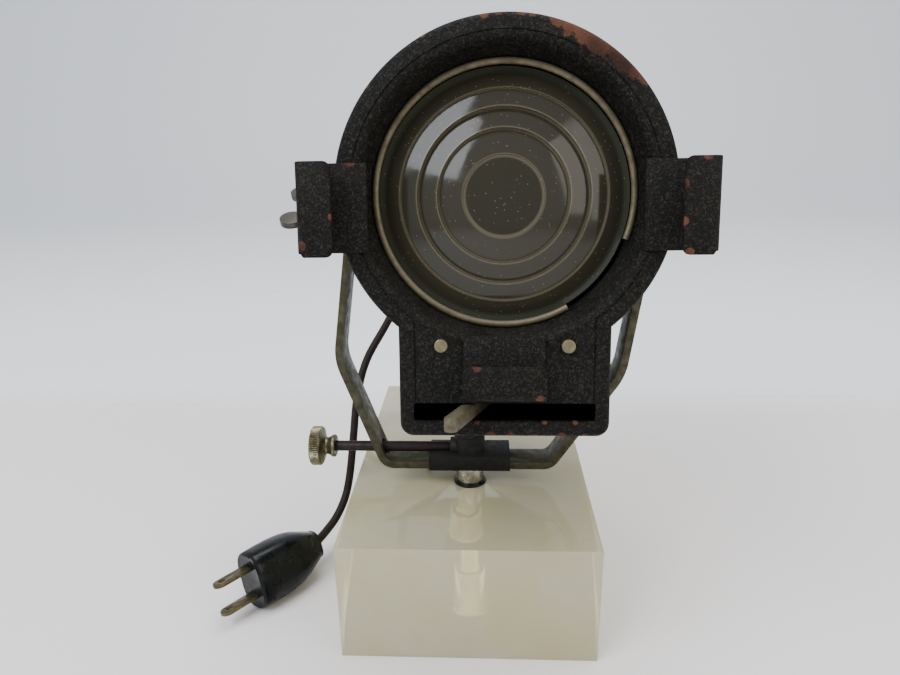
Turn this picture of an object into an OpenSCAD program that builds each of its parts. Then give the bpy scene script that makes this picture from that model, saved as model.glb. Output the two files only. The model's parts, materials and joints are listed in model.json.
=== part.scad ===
// Small vintage fresnel spotlight in a flat-bar yoke, shown on a clear block.
// Millimetres. +Z is up and the lens looks along -Y. The origin is the centre
// of the block's underside.

/* [Display block] */
// Width of the block
block_w = 101.6; // [90:0.1:140]
// Depth of the block, front to back
block_d = 158.75; // [130:0.25:200]
// Height of the block
block_h = 50.8; // [40:0.1:70]
// Distance from the block's front face to the stud
stud_inset = 50.8; // [40:0.1:65]
// Diameter of the stud bolt
stud_d = 6.35; // [5:0.05:8]
// Diameter of the counterbore in the underside
counterbore_d = 12.7; // [12:0.1:16]
// Depth of the counterbore
counterbore_depth = 17; // [12:0.5:25]
// Diameter of the collar under the yoke
collar_d = 12; // [10:0.5:16]
// Height of the yoke's bar above the block
yoke_lift = 9.2; // [7:0.1:14]

/* [Yoke] */
// Width of the flat bar
bar_w = 12.7; // [10:0.1:16]
// Thickness of the flat bar
bar_t = 3.175; // [2:0.025:4]
// Height of the tilt pivots above the bar's underside
pivot_rise = 111.9; // [108:0.1:130]
// Outside width of the arms at the tilt pivots
pivot_span = 119; // [117:0.5:130]
// Outside width of the bottom bar, corner to corner
bottom_span = 74.2; // [60:0.1:84]
// How far the bottom bar stands to the left of the stud
bottom_shift = 1; // [0:0.1:4]
// Outside width at the bends
bend_span = 119.2; // [112:0.1:130]
// Height of the left bend above the bar's underside
left_bend_rise = 50.1; // [45:0.1:60]
// Height of the right bend above the bar's underside
right_bend_rise = 43.4; // [38:0.1:60]
// How far the bends stand to the right of the stud
bend_shift = 4.3; // [0:0.1:8]
// How far the head stands to the right of the stud
head_shift = 12.5; // [0:0.1:16]
// Length of the saddle casting
saddle_l = 34.6; // [28:0.1:44]
// Diameter of the saddle's boss
boss_d = 13.2; // [12:0.1:16]
// Height of the boss above the bar's underside
boss_rise = 13.8; // [12:0.1:16]
// Diameter of the clamp screw
clamp_d = 4.5; // [4:0.1:5.5]
// Diameter of the clamp screw's knob
knob_d = 17; // [14:0.5:22]
// Width of the knob's rim
knob_w = 5; // [4:0.1:10]

/* [Head] */
// Upward tilt of the head at rest, in degrees
head_tilt = 10; // [0:1:20]
// Radius of the round part of the head
ring_r = 49.4; // [47:0.1:51]
// Half the width of the box under the ring
box_half = 31.3; // [28:0.1:36]
// Depth of the box's underside below the pivots
box_drop = 71.3; // [68:0.1:76]
// Corner radius of the box
box_corner = 4; // [2:0.5:8]
// Distance from the pivots to the front face
front_reach = 71.2; // [66:0.1:80]
// Distance from the pivots to the back face
back_reach = 60; // [56:0.5:72]
// Thickness of the sheet steel
sheet_t = 1; // [0.8:0.05:1.5]
// Length of the rims that overlap the housing
rim_l = 12; // [8:0.5:18]
// Outer radius of the cone round the lens
cone_r = 44.5; // [42:0.1:46]
// Radius of the lens
lens_r = 38.1; // [34:0.1:39]
// Thickness of the lens at its edge
lens_edge_t = 6.5; // [5:0.1:8]
// Depth of the retaining wire behind the front face
wire_depth = 8.2; // [7:0.1:10]
// Diameter of the retaining wire
wire_d = 2; // [1.5:0.1:2.5]
// Half the length of the lever slot
slot_half = 27; // [24:0.1:28]
// Height of the lever slot
slot_h = 5.4; // [5:0.1:7]
// Drop of the slot's centre below the pivots
slot_drop = 63.7; // [61:0.1:65]

/* [Frame clips] */
// Distance from the head's centre to a side clip's fold
clip_reach = 58.5; // [54:0.1:64]
// Height of a side clip
clip_h = 25.5; // [18:0.5:34]
// Gap between a clip's lip and the front face
clip_gap = 6; // [5.6:0.1:8]
// Width of the bottom clip
low_clip_w = 24; // [16:0.5:34]

/* [Focus carriage] */
// Distance between the guide rods
rod_spacing = 37.4; // [34:0.1:42]
// Drop of the guide rods below the pivots
rod_drop = 43.7; // [42:0.1:46]
// Diameter of the guide rods
rod_d = 4.1; // [3.5:0.1:5]
// Distance from the front face back to the lever's pivot
lever_back = 36.5; // [34:0.1:42]
// Swing of the lever to the left at rest, in degrees
lever_swing = 17; // [0:1:25]
// How far the lever stands out of the front face
lever_out = 17.5; // [12:0.5:24]
// Width of the lever
lever_w = 4; // [3:0.1:5]
// Sideways distance from the lever's pivot to the drive pin
crank_l = 17; // [15:0.5:18.5]
// Radius of the lamp's bulb
bulb_r = 14; // [11:0.5:16]

/* [Cord and plug] */
// Diameter of the cord
cord_d = 4; // [3.2:0.1:4.4]
// Length of the plug's body
plug_l = 35.5; // [30:0.5:44]
// Width of the plug's body
plug_w = 26; // [24:0.5:32]
// Thickness of the plug's body
plug_t = 19; // [16:0.5:22]
// Length of the plug's blades
blade_l = 16; // [14:0.5:18]

/* [Hidden] */
$fn = 64;
run = 0.05;                  // radial clearance of a running fit
gap = 0.2;                   // gap between nested sheets
stud_y = stud_inset - block_d / 2;
bar_z = block_h + yoke_lift;
pivot_z = bar_z + pivot_rise;
skin = 0.1;                  // gap under a turning face

// Base
foot_t = 0.8;                // rubber ring under the collar
foot_d = collar_d + 2;
block_hole_d = stud_d + 0.7;
washer_t = 1.2;
stud_head_d = 9.5;
stud_head_h = 6;
groove_d = stud_d - 1.3;     // groove that the clamp screw's tip enters
groove_w = 4.2;
clamp_z = bar_z + 7.5;
boss_top = bar_z + boss_rise;

// Yoke
corner_r = 6;                // centreline radius of the bottom bar's corners
arm_bend_r = 24;             // and of the arms' bends
knee_r = 20;                 // and where the arms turn upright
vertical_l = 8;              // straight stretch of each arm below its pivot
arm_over = 10;               // bar beyond the pivot
bar_half = bar_t / 2;
saddle_t = 6.6;
saddle_w = 16;
lug_d = 8.4;
lug_reach = 8.3;
clamp_hole_d = clamp_d + 2.4;
clamp_tip_d = 3.2;
knob_inner = 64.4;           // knob rim's inner face, from the stud
knob_neck = 58.7;            // knob flange's end, from the stud
knob_bore_l = 3;
rivet_d = 3;
rivet_l = 5;
rivet_head_d = 5.4;
rivet_head_h = 1.2;
rivet_x = 12.8;

// Head
boss_r = 7;
pivot_d = 6.35;
arm_inner = pivot_span / 2 - bar_t;
arm_outer = pivot_span / 2;
disc_t = 1;                  // friction washer between boss and arm
nut_washer_t = 1.2;
shell_r = ring_r - sheet_t - gap;
shell_half = box_half - sheet_t - gap;
shell_drop = box_drop - sheet_t - gap;
shell_front = sheet_t - front_reach;
shell_back = back_reach - sheet_t;
neck_r = lens_r + wire_d / 2 + 0.2;
seat_depth = wire_depth + wire_d + lens_edge_t;
seat_lip_r = lens_r - 2.6;
slot_low = slot_drop + slot_h / 2;
screw_r = 1.45;
screw_head_r = 2.6;
screw_head_h = 1.6;
screw_rows = [46, 64];       // drop of the side screws below the pivots
screw_edge = 7;              // side screws, from the back face

// Wire: it is open at the lower right
wire_from = -20;
wire_turn = 320;

// Clips
clip_base_in = 39.3;
clip_lip_in = 48.3;
clip_mid = -3.5;
lip_extra = 1;
lip_corner = 2;
low_base_top = -40.6;
low_fold = -59;
low_lip_top = -48.5;

// Vent cap
vent_half_angle = 38;
vent_rise = 7;
vent_l = 62;
vent_slot_w = 4;
vent_slot_l = 44;
vent_angles = [-26, -13, 0, 13, 26];

// Carriage
rod_x = rod_spacing / 2;
rod_proud = 1.3;             // the right rod's end stands out of the face
bush_r = 3.5;
bush_l = 10;
block_half = 4.5;
lever_h = 4.2;
lever_y = lever_back - front_reach;
lever_top = lever_h / 2 - slot_drop;
lever_pin_r = 2;
lever_hub_r = 5;
drive_r = 2;
drive_slack = 0.65;          // side clearance of the drive pin in its fork
fork_half = 4.6;
drive_y = lever_y - crank_l * tan(lever_swing);
plate_top = -49;
plate_t = 1.5;
plate_front = drive_y - 5;
plate_half = rod_x + block_half;
plate_back = drive_y + 66;
lamp_y = drive_y + 32;
reflector_r = 30;
reflector_rim = 22;
socket_r = 9;
socket_top = -24;
cap_r = 7.5;

// Cable outlet on the back
outlet_x = -36;
gland_r = 4;
gland_hex = 6;
gland_l = 4;
gland_tail = 4;
relief_l = 20;

// Cord's route, from just outside the strain relief's mouth to the plug
CORD = [
    [-23.5, 54.4, 157.3], [-23.6, 61, 156.1], [-24.2, 67.4, 152.6],
    [-25.4, 72, 146.4], [-27.6, 73.4, 138], [-31, 71, 127.5],
    [-36.6, 62.7, 114.5], [-45.6, 47.5, 99], [-54.1, 31.5, 85.1],
    [-58, 20.5, 69.5], [-59.5, 11.5, 51], [-61.2, 6, 34.5],
    [-63.3, 0.8, 23.7], [-66.7, -6, 16.7], [-70.2, -14, 13.9],
    [-73.6, -24.3, 13.4]
];
cord_sides = 8;
cord_steps = 3;              // rings per stretch of the route

// Plug
plug_heading = 232;
plug_roll = 76;
plug_round = 7;
plug_tail_w = 13;
plug_tail_t = 11;
blade_w = 6.35;
blade_t = 1.5;
blade_spacing = 12.7;
blade_hole_d = 3;
blade_root = 5;

// ---------- helpers ----------

function unit(v) = v / norm(v);

// Points of a fillet of radius r at corner b, between a and c
function corner(a, b, c, r, n = 8) =
    let (
        u = unit(a - b),
        v = unit(c - b),
        half = acos(u * v) / 2,
        reach = r / tan(half),
        mid = b + unit(u + v) * r / sin(half),
        p = b + u * reach - mid,
        q = b + v * reach - mid,
        sweep = 180 - 2 * half
    )
    [for (i = [0:n])
        mid + (p * sin(sweep * (1 - i / n)) + q * sin(sweep * i / n)) / sin(sweep)];

// Unit normal of a path at point i, stretched at corners so that a ribbon keeps its width
function path_normal(p, i) =
    let (
        a = i > 0 ? unit(p[i] - p[i - 1]) : unit(p[1] - p[0]),
        b = i < len(p) - 1 ? unit(p[i + 1] - p[i]) : a,
        m = unit(a + b)
    )
    [-m.y, m.x] / (m * b);

// A flat ribbon of width 2 * half along a path
module ribbon(path, half) {
    one = [for (i = [0:len(path) - 1]) path[i] + path_normal(path, i) * half];
    two = [for (i = [len(path) - 1:-1:0]) path[i] - path_normal(path, i) * half];
    polygon(concat(one, two));
}

// Places a child drawn about the tilt pivots, with -Y to the front
module in_head() {
    translate([head_shift, stud_y, pivot_z]) rotate([-head_tilt, 0, 0]) children();
}

// Extrudes an outline drawn in X and Z from y = from to y = to
module slab(from, to) {
    translate([0, to, 0]) rotate([90, 0, 0]) linear_extrude(to - from) children();
}

// Turns +Z to point back along +Y, starting at y
module backward(y) {
    translate([0, y, 0]) rotate([-90, 0, 0]) children();
}

// Turns +Z to point right along +X, starting at x
module rightward(x) {
    translate([x, 0, 0]) rotate([0, 90, 0]) children();
}

module leftward(x) {
    translate([x, 0, 0]) rotate([0, -90, 0]) children();
}

// The head's keyhole outline
module keyhole(r, half, drop, round) {
    circle(r, $fn = 128);
    translate([-half, round - drop]) square([2 * half, drop - round]);
    translate([round - half, -drop]) square([2 * (half - round), drop / 2]);
    for (side = [-1, 1]) translate([side * (half - round), round - drop]) circle(round);
}

module rod_pair(r, from, to) {
    for (side = [-1, 1])
        translate([side * rod_x, 0, -rod_drop]) backward(from) cylinder(r = r, h = to - from);
}

// Side holes or shanks for the screws that hold the rear cover
module side_screws(r, inner, outer) {
    for (side = [0, 1], drop = screw_rows)
        mirror([side, 0, 0])
        translate([0, back_reach - screw_edge, -drop]) rightward(inner) cylinder(r = r, h = outer - inner);
}

// ---------- display block ----------

module base_block() {
    color([0.88, 0.87, 0.72, 0.6])
    difference() {
        translate([-block_w / 2, -block_d / 2, 0]) cube([block_w, block_d, block_h]);
        translate([0, stud_y, -1]) cylinder(d = block_hole_d, h = block_h + 2);
        translate([0, stud_y, -1]) cylinder(d = counterbore_d, h = counterbore_depth + 1);
    }
}

module stud_bolt() {
    seat = counterbore_depth - washer_t;
    color("silver")
    difference() {
        translate([0, stud_y, 0]) {
            translate([0, 0, seat]) cylinder(d = stud_d, h = boss_top - seat);
            translate([0, 0, seat - stud_head_h]) cylinder(d = stud_head_d, h = stud_head_h);
        }
        translate([0, stud_y, clamp_z - groove_w / 2])
        difference() {
            cylinder(d = stud_d + 2, h = groove_w);
            translate([0, 0, -1]) cylinder(d = groove_d, h = groove_w + 2);
        }
    }
}

module stud_washer() {
    color("silver")
    translate([0, stud_y, counterbore_depth - washer_t])
    difference() {
        cylinder(d = counterbore_d - 0.7, h = washer_t);
        translate([0, 0, -1]) cylinder(d = stud_d + 2 * run, h = washer_t + 2);
    }
}

module foot_ring() {
    color([0.1, 0.1, 0.1])
    translate([0, stud_y, block_h])
    difference() {
        cylinder(d = foot_d, h = foot_t);
        translate([0, 0, -1]) cylinder(d = stud_d + 2 * run, h = foot_t + 2);
    }
}

module collar() {
    color("silver")
    translate([0, stud_y, block_h + foot_t])
    difference() {
        cylinder(d = collar_d, h = yoke_lift - foot_t - skin);
        translate([0, 0, -1]) cylinder(d = stud_d + 2 * run, h = yoke_lift + 2);
    }
}

// ---------- yoke ----------

// Centreline of the flat bar, in X and in height above its underside
function yoke_path() =
    let (
        low = bottom_span / 2 - bar_half,
        bend = bend_span / 2 - bar_half,
        arm = pivot_span / 2 - bar_half,
        top = [head_shift - arm, pivot_rise + arm_over],
        knee = [head_shift - arm, pivot_rise - vertical_l],
        left = [bend_shift - bend, left_bend_rise],
        left_low = [-bottom_shift - low, bar_half],
        right_low = [low - bottom_shift, bar_half],
        right = [bend_shift + bend, right_bend_rise],
        over = [2 * arm, 0]
    )
    concat(
        [top],
        corner(top, knee, left, knee_r),
        corner(knee, left, left_low, arm_bend_r),
        corner(left, left_low, right_low, corner_r),
        corner(left_low, right_low, right, corner_r),
        corner(right_low, right, knee + over, arm_bend_r),
        corner(right, knee + over, top + over, knee_r),
        [top + over]
    );

module yoke() {
    color([0.30, 0.29, 0.22])
    difference() {
        translate([0, stud_y, bar_z]) slab(-bar_w / 2, bar_w / 2) ribbon(yoke_path(), bar_half);
        // Each arm's top is rounded to a half circle
        for (side = [-1, 1])
            translate([head_shift + side * arm_outer, stud_y, pivot_z + arm_over - bar_w / 2])
            difference() {
                translate([-2 * bar_t, -bar_w, 0]) cube([4 * bar_t, 2 * bar_w, bar_w]);
                rightward(-3 * bar_t) cylinder(d = bar_w, h = 6 * bar_t);
            }
        translate([head_shift, stud_y, pivot_z])
            rightward(-pivot_span) cylinder(d = pivot_d + 2 * run, h = 2 * pivot_span);
        translate([0, stud_y, bar_z - 1]) cylinder(d = stud_d + 0.4, h = bar_t + 2);
        translate([0, stud_y, clamp_z]) leftward(-lug_reach) cylinder(d = clamp_hole_d, h = 50);
        for (side = [-1, 1])
            translate([side * rivet_x, stud_y, bar_z - 1]) cylinder(d = rivet_d, h = bar_t + 2);
    }
}

module saddle() {
    color([0.12, 0.12, 0.12])
    difference() {
        union() {
            translate([-saddle_l / 2, stud_y - saddle_w / 2, bar_z]) cube([saddle_l, saddle_w, saddle_t]);
            translate([0, stud_y, bar_z]) cylinder(d = boss_d, h = boss_rise);
            translate([0, stud_y, clamp_z]) leftward(0) cylinder(d = lug_d, h = lug_reach);
        }
        translate([-saddle_l, stud_y - bar_w / 2, bar_z - 1]) cube([2 * saddle_l, bar_w, bar_t + 1]);
        translate([0, stud_y, bar_z - 1]) cylinder(d = stud_d + 2 * run, h = boss_rise + 2);
        translate([0, stud_y, clamp_z]) leftward(0) cylinder(d = clamp_d + 2 * run, h = saddle_l);
        for (side = [-1, 1])
            translate([side * rivet_x, stud_y, bar_z]) cylinder(d = rivet_d, h = rivet_l);
    }
}

// Rivets put in from below, so that nothing stands in the clamp screw's way
module saddle_rivets() {
    color([0.25, 0.24, 0.2])
    for (side = [-1, 1])
        translate([side * rivet_x, stud_y, bar_z]) {
            cylinder(d = rivet_d, h = rivet_l);
            translate([0, 0, -rivet_head_h]) cylinder(d1 = rivet_d, d2 = rivet_head_d, h = rivet_head_h);
        }
}

module clamp_rod() {
    tip_x = groove_d / 2 + 0.15;
    shoulder_x = stud_d / 2 + 0.4;
    color([0.28, 0.20, 0.17])
    translate([0, stud_y, clamp_z]) {
        leftward(-shoulder_x) cylinder(d = clamp_d, h = knob_inner + knob_bore_l - shoulder_x);
        leftward(-tip_x) cylinder(d = clamp_tip_d, h = shoulder_x - tip_x + 1);
    }
}

module clamp_knob() {
    rim_r = knob_d / 2;
    far = knob_inner + knob_w;
    edge = 0.8;
    waist_r = 3.7;
    flange_r = 4.9;
    flange_w = 1.8;
    cone_r2 = 6.3;
    bore_r = clamp_d / 2 + run / 2;
    color([0.55, 0.52, 0.40])
    translate([0, stud_y, clamp_z]) leftward(0)
    rotate_extrude() polygon([
        [bore_r, knob_neck], [flange_r, knob_neck], [flange_r, knob_neck + flange_w],
        [waist_r, knob_neck + 2 * flange_w], [waist_r, knob_inner - 1.6],
        [cone_r2, knob_inner], [rim_r - edge, knob_inner], [rim_r, knob_inner + edge],
        [rim_r, far - edge], [rim_r - edge, far], [0, far],
        [0, knob_inner + knob_bore_l], [bore_r, knob_inner + knob_bore_l]
    ]);
}

// ---------- head: sheet metal ----------

module front_plate() {
    lip = sheet_t;
    color([0.13, 0.13, 0.13])
    in_head()
    difference() {
        union() {
            slab(-front_reach, -front_reach + sheet_t)
                difference() {
                    keyhole(ring_r, box_half, box_drop, box_corner);
                    circle(cone_r, $fn = 128);
                }
            slab(-front_reach, -front_reach + rim_l)
                difference() {
                    keyhole(ring_r, box_half, box_drop, box_corner);
                    keyhole(ring_r - sheet_t, box_half - sheet_t, box_drop - sheet_t, box_corner - sheet_t);
                }
            backward(-front_reach) rotate_extrude($fn = 128) polygon([
                [cone_r + 1, 0], [cone_r, 0], [neck_r, wire_depth - wire_d / 2],
                [neck_r, seat_depth], [seat_lip_r, seat_depth], [seat_lip_r, seat_depth + lip],
                [neck_r + lip, seat_depth + lip], [neck_r + lip, wire_depth - wire_d / 2 + 0.3],
                [cone_r + 1, sheet_t]
            ]);
        }
        translate([-slot_half, -front_reach - 1, -slot_low]) cube([2 * slot_half, sheet_t + 2, slot_h]);
        rod_pair(rod_d / 2 + run, -front_reach - 1, -front_reach + sheet_t + 1);
    }
}

module housing_shell() {
    color([0.13, 0.13, 0.13])
    in_head()
    difference() {
        slab(shell_front, shell_back)
            difference() {
                keyhole(shell_r, shell_half, shell_drop, box_corner - sheet_t - gap);
                keyhole(shell_r - sheet_t, shell_half - sheet_t, shell_drop - sheet_t, 1);
            }
        rightward(-2 * shell_r) cylinder(d = pivot_d, h = 4 * shell_r);
        for (angle = vent_angles)
            rotate([0, angle, 0])
            translate([-vent_slot_w / 2, -vent_slot_l / 2, shell_r - 3])
            cube([vent_slot_w, vent_slot_l, 6]);
        translate([0, lever_y, -shell_drop - 1]) cylinder(r = lever_pin_r, h = sheet_t + 2);
        side_screws(screw_r, shell_half - 3, box_half + 1);
    }
}

module rear_cover() {
    color([0.13, 0.13, 0.13])
    in_head()
    difference() {
        union() {
            slab(shell_back, back_reach) keyhole(ring_r, box_half, box_drop, box_corner);
            slab(back_reach - rim_l, back_reach)
                difference() {
                    keyhole(ring_r, box_half, box_drop, box_corner);
                    keyhole(ring_r - sheet_t, box_half - sheet_t, box_drop - sheet_t, box_corner - sheet_t);
                }
        }
        rod_pair(rod_d / 2 + run, shell_back - 1, back_reach + 1);
        translate([outlet_x, 0, 0]) backward(shell_back - 1) cylinder(r = gland_r, h = sheet_t + 2);
        side_screws(screw_r, box_half - 3, box_half + 1);
    }
}

module cover_screws() {
    color([0.2, 0.2, 0.2])
    in_head() {
        side_screws(screw_r, shell_half - 2.5, box_half);
        side_screws(screw_head_r, box_half, box_half + screw_head_h);
    }
}

module vent_cap() {
    top_r = ring_r + vent_rise;
    far = 2 * top_r;
    color([0.13, 0.13, 0.13])
    in_head()
    slab(-vent_l / 2, vent_l / 2) {
        intersection() {
            difference() {
                circle(top_r, $fn = 128);
                circle(top_r - sheet_t, $fn = 128);
            }
            polygon([[0, 0], [-far * sin(vent_half_angle), far * cos(vent_half_angle)],
                [far * sin(vent_half_angle), far * cos(vent_half_angle)]]);
        }
        for (side = [-1, 1])
            intersection() {
                rotate(-side * vent_half_angle) translate([side * -sheet_t / 2 - sheet_t / 2, 0])
                    square([sheet_t, top_r - sheet_t / 2]);
                difference() {
                    circle(top_r, $fn = 128);
                    circle(shell_r, $fn = 128);
                }
            }
    }
}

// ---------- head: lens ----------

// Stepped face of the lens: each zone falls outwards, then a riser climbs to the next
function lens_face() =
    let (
        edges = [12.2, 19.9, 26, 31.3, 36.3],
        fall = [0.9, 1.9, 2.1, 1.6, 2.2],
        crest = [0.4, 0.7, 0.9, 1.1, 1.6]
    )
    [for (i = [0:len(edges) - 1]) each [
        [i == 0 ? 0 : edges[i - 1], crest[i]],
        [edges[i], crest[i] + fall[i]]
    ]];

module lens() {
    front = wire_depth + wire_d / 2;
    color([0.45, 0.45, 0.36, 0.6])
    in_head()
    backward(-front_reach) rotate_extrude($fn = 128)
    polygon(concat(
        [for (p = lens_face()) [p.x, front + p.y]],
        [[lens_r, front + 3.8], [lens_r, seat_depth], [0, seat_depth]]
    ));
}

module lens_wire() {
    color([0.5, 0.45, 0.34])
    in_head()
    backward(-front_reach + wire_depth)
    rotate([0, 0, -wire_from - wire_turn])
    rotate_extrude(angle = wire_turn, $fn = 128)
    translate([neck_r - 0.1 - wire_d / 2, 0]) circle(d = wire_d, $fn = 24);
}

// ---------- head: frame clips ----------

// Side clip: base on the front face, fold outside, lip pointing back to the lens
module side_clip(side) {
    t = sheet_t;
    face = -front_reach;
    lip_front = face - clip_gap - 2 * t;
    in_head()
    mirror([side < 0 ? 1 : 0, 0, 0]) {
        translate([clip_base_in, face - t, clip_mid - clip_h / 2])
            cube([clip_reach - clip_base_in, t, clip_h]);
        translate([clip_reach - t, lip_front, clip_mid - clip_h / 2])
            cube([t, clip_gap + 2 * t, clip_h]);
        slab(lip_front, lip_front + t) polygon([
            [clip_lip_in, clip_mid - clip_h / 2 - lip_extra + lip_corner],
            [clip_lip_in + lip_corner, clip_mid - clip_h / 2 - lip_extra],
            [clip_reach, clip_mid - clip_h / 2 - lip_extra],
            [clip_reach, clip_mid + clip_h / 2],
            [clip_lip_in + lip_corner, clip_mid + clip_h / 2],
            [clip_lip_in, clip_mid + clip_h / 2 - lip_corner]
        ]);
    }
}

module left_clip() {
    color([0.16, 0.14, 0.13]) side_clip(-1);
}

module right_clip() {
    color([0.16, 0.14, 0.13]) side_clip(1);
}

module bottom_clip() {
    t = sheet_t;
    face = -front_reach;
    lip_front = face - clip_gap - 2 * t;
    half = low_clip_w / 2;
    color([0.16, 0.14, 0.13])
    in_head() {
        translate([-half, face - t, low_fold]) cube([low_clip_w, t, low_base_top - low_fold]);
        translate([-half, lip_front, low_fold]) cube([low_clip_w, clip_gap + 2 * t, t]);
        slab(lip_front, lip_front + t) polygon([
            [-half, low_fold], [half, low_fold], [half, low_lip_top - lip_corner],
            [half - lip_corner, low_lip_top], [lip_corner - half, low_lip_top],
            [-half, low_lip_top - lip_corner]
        ]);
    }
}

// ---------- head: tilt pivots ----------

// Draws the child for the right pivot and mirrors it for the left
module both_pivots() {
    in_head() for (side = [0, 1]) mirror([side, 0, 0]) children();
}

module tilt_bosses() {
    color([0.13, 0.13, 0.13])
    both_pivots()
    difference() {
        rightward(shell_r - 2) cylinder(r = boss_r, h = arm_inner - disc_t - shell_r + 2);
        slab(-20, 20) circle(shell_r, $fn = 128);
        rightward(0) cylinder(d = pivot_d, h = pivot_span);
    }
}

module friction_washers() {
    color([0.35, 0.25, 0.18])
    both_pivots()
    rightward(arm_inner - disc_t)
    difference() {
        cylinder(r = boss_r, h = disc_t - run);
        translate([0, 0, -1]) cylinder(d = pivot_d, h = disc_t + 2);
    }
}

module pivot_bolt() {
    head_r = 7;
    head_t = 3;
    seat = sqrt(pow(shell_r - sheet_t, 2) - head_r * head_r);
    end = arm_outer + 15;
    color([0.45, 0.43, 0.38])
    in_head() {
        leftward(-seat + 1) cylinder(d = pivot_d, h = end - seat + 1);
        leftward(-seat + head_t) cylinder(r = head_r, h = head_t);
    }
}

module pivot_screw() {
    head_r = 6.2;
    head_t = 4;
    nut_r = 6.4;
    nut_t = 5;
    seat = sqrt(pow(shell_r - sheet_t, 2) - nut_r * nut_r);
    color([0.45, 0.43, 0.38])
    in_head() {
        rightward(seat - nut_t) cylinder(d = pivot_d, h = arm_outer - seat + nut_t + run);
        rightward(arm_outer + run) cylinder(r = head_r, h = head_t);
        rightward(seat - nut_t) cylinder(r = nut_r, h = nut_t, $fn = 6);
    }
}

module nut_washer() {
    color([0.45, 0.43, 0.38])
    in_head()
    leftward(-arm_outer - run)
    difference() {
        cylinder(r = boss_r, h = nut_washer_t);
        translate([0, 0, -1]) cylinder(d = pivot_d, h = nut_washer_t + 2);
    }
}

// Wing nut: a hub with two round-eared wings leaning out along the bolt
module wing_nut() {
    lean = 32;
    hub_l = 9;
    hub_r = 5.4;
    ear_r = 4.5;
    ear_out = 18.3;
    ear_side = 10;
    wing_t = 2.4;
    color([0.42, 0.42, 0.40])
    in_head()
    leftward(-arm_outer - nut_washer_t - run - skin)
    rotate([0, 0, 90 - lean])
    difference() {
        union() {
            cylinder(r1 = hub_r, r2 = hub_r - 1, h = hub_l);
            for (side = [0, 1])
                mirror([side, 0, 0]) translate([0, wing_t / 2, 0]) rotate([90, 0, 0])
                linear_extrude(wing_t) {
                    translate([ear_side, ear_out]) circle(ear_r);
                    polygon([[3.6, 1], [4.6, 1], [ear_side + 4, ear_out - 2], [ear_side - 3, ear_out + 3.3],
                        [3.6, hub_l - 0.5]]);
                }
        }
        translate([0, 0, -1]) cylinder(d = pivot_d + 2 * run, h = hub_l + 20);
    }
}

// ---------- head: focusing gear ----------

module guide_rods() {
    far = back_reach + 4;
    color([0.50, 0.47, 0.36])
    in_head()
    for (side = [-1, 1]) {
        front = -front_reach - (side > 0 ? rod_proud : 0);
        translate([side * rod_x, 0, -rod_drop]) backward(front) cylinder(d = rod_d, h = far - front);
    }
}

module rod_nuts() {
    color([0.45, 0.43, 0.38])
    in_head()
    difference() {
        for (side = [-1, 1])
            translate([side * rod_x, 0, -rod_drop]) backward(back_reach) cylinder(r = 4.2, h = 3, $fn = 6);
        rod_pair(rod_d / 2, back_reach - 1, back_reach + 5);
    }
}

module lever_pin() {
    floor_z = sheet_t - shell_drop;
    bottom = lever_top - lever_h;
    color([0.45, 0.43, 0.38])
    in_head()
    translate([0, lever_y, 0]) {
        translate([0, 0, -shell_drop]) cylinder(r = lever_pin_r, h = lever_top + shell_drop + 1.5);
        translate([0, 0, floor_z]) cylinder(r = lever_pin_r + 2, h = bottom - floor_z - skin);
        translate([0, 0, lever_top + skin]) cylinder(r = lever_pin_r + 1.4, h = 1.4);
    }
}

// Bell crank: the handle leaves through the slot, the fork drives the carriage
module focus_lever() {
    handle_l = lever_back + lever_out;
    fork_l = crank_l + 6;
    color([0.35, 0.33, 0.26])
    in_head()
    translate([0, lever_y, lever_top - lever_h]) rotate([0, 0, -lever_swing])
    difference() {
        union() {
            cylinder(r = lever_hub_r, h = lever_h);
            translate([-lever_w / 2, -handle_l + lever_w / 2, 0]) cube([lever_w, handle_l - lever_w / 2, lever_h]);
            translate([0, -handle_l + lever_w / 2, 0]) cylinder(d = lever_w, h = lever_h);
            translate([0, -fork_half, 0]) cube([fork_l, 2 * fork_half, lever_h]);
        }
        translate([0, 0, -1]) cylinder(r = lever_pin_r + run, h = lever_h + 2);
        translate([crank_l - 4, -drive_r - drive_slack, -1])
            cube([fork_l, 2 * (drive_r + drive_slack), lever_h + 2]);
    }
}

module carriage() {
    top = plate_top;
    block_h2 = rod_drop + top;
    color([0.55, 0.55, 0.52])
    in_head()
    difference() {
        union() {
            translate([-plate_half, plate_front, top - plate_t])
                cube([2 * plate_half, plate_back - plate_front, plate_t]);
            for (side = [-1, 1])
                translate([side * rod_x - block_half, plate_front + 2, top])
                cube([2 * block_half, 4 * bush_l, block_half - block_h2]);
        }
        rod_pair(bush_r, plate_front, plate_front + 60);
        translate([crank_l, drive_y, top - plate_t - 1]) cylinder(r = drive_r, h = plate_t + 2);
    }
}

module carriage_bushes() {
    color("goldenrod")
    in_head()
    for (start = [plate_front + 2, plate_front + 2 + 3 * bush_l])
        difference() {
            rod_pair(bush_r, start, start + bush_l);
            rod_pair(rod_d / 2 + run, start - 1, start + bush_l + 1);
        }
}

module drive_pin() {
    low = lever_top - lever_h - 0.6;
    color([0.45, 0.43, 0.38])
    in_head()
    translate([crank_l, drive_y, low]) cylinder(r = drive_r, h = plate_top - low);
}

module lamp_socket() {
    color([0.85, 0.83, 0.76])
    in_head()
    translate([0, lamp_y, plate_top])
    difference() {
        cylinder(r = socket_r, h = socket_top - plate_top);
        translate([0, 0, 4]) cylinder(r = cap_r + run, h = socket_top - plate_top);
    }
}

module lamp_cap() {
    color("goldenrod")
    in_head()
    translate([0, lamp_y, plate_top + 4]) cylinder(r = cap_r, h = socket_top + 3 - plate_top - 4);
}

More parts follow.
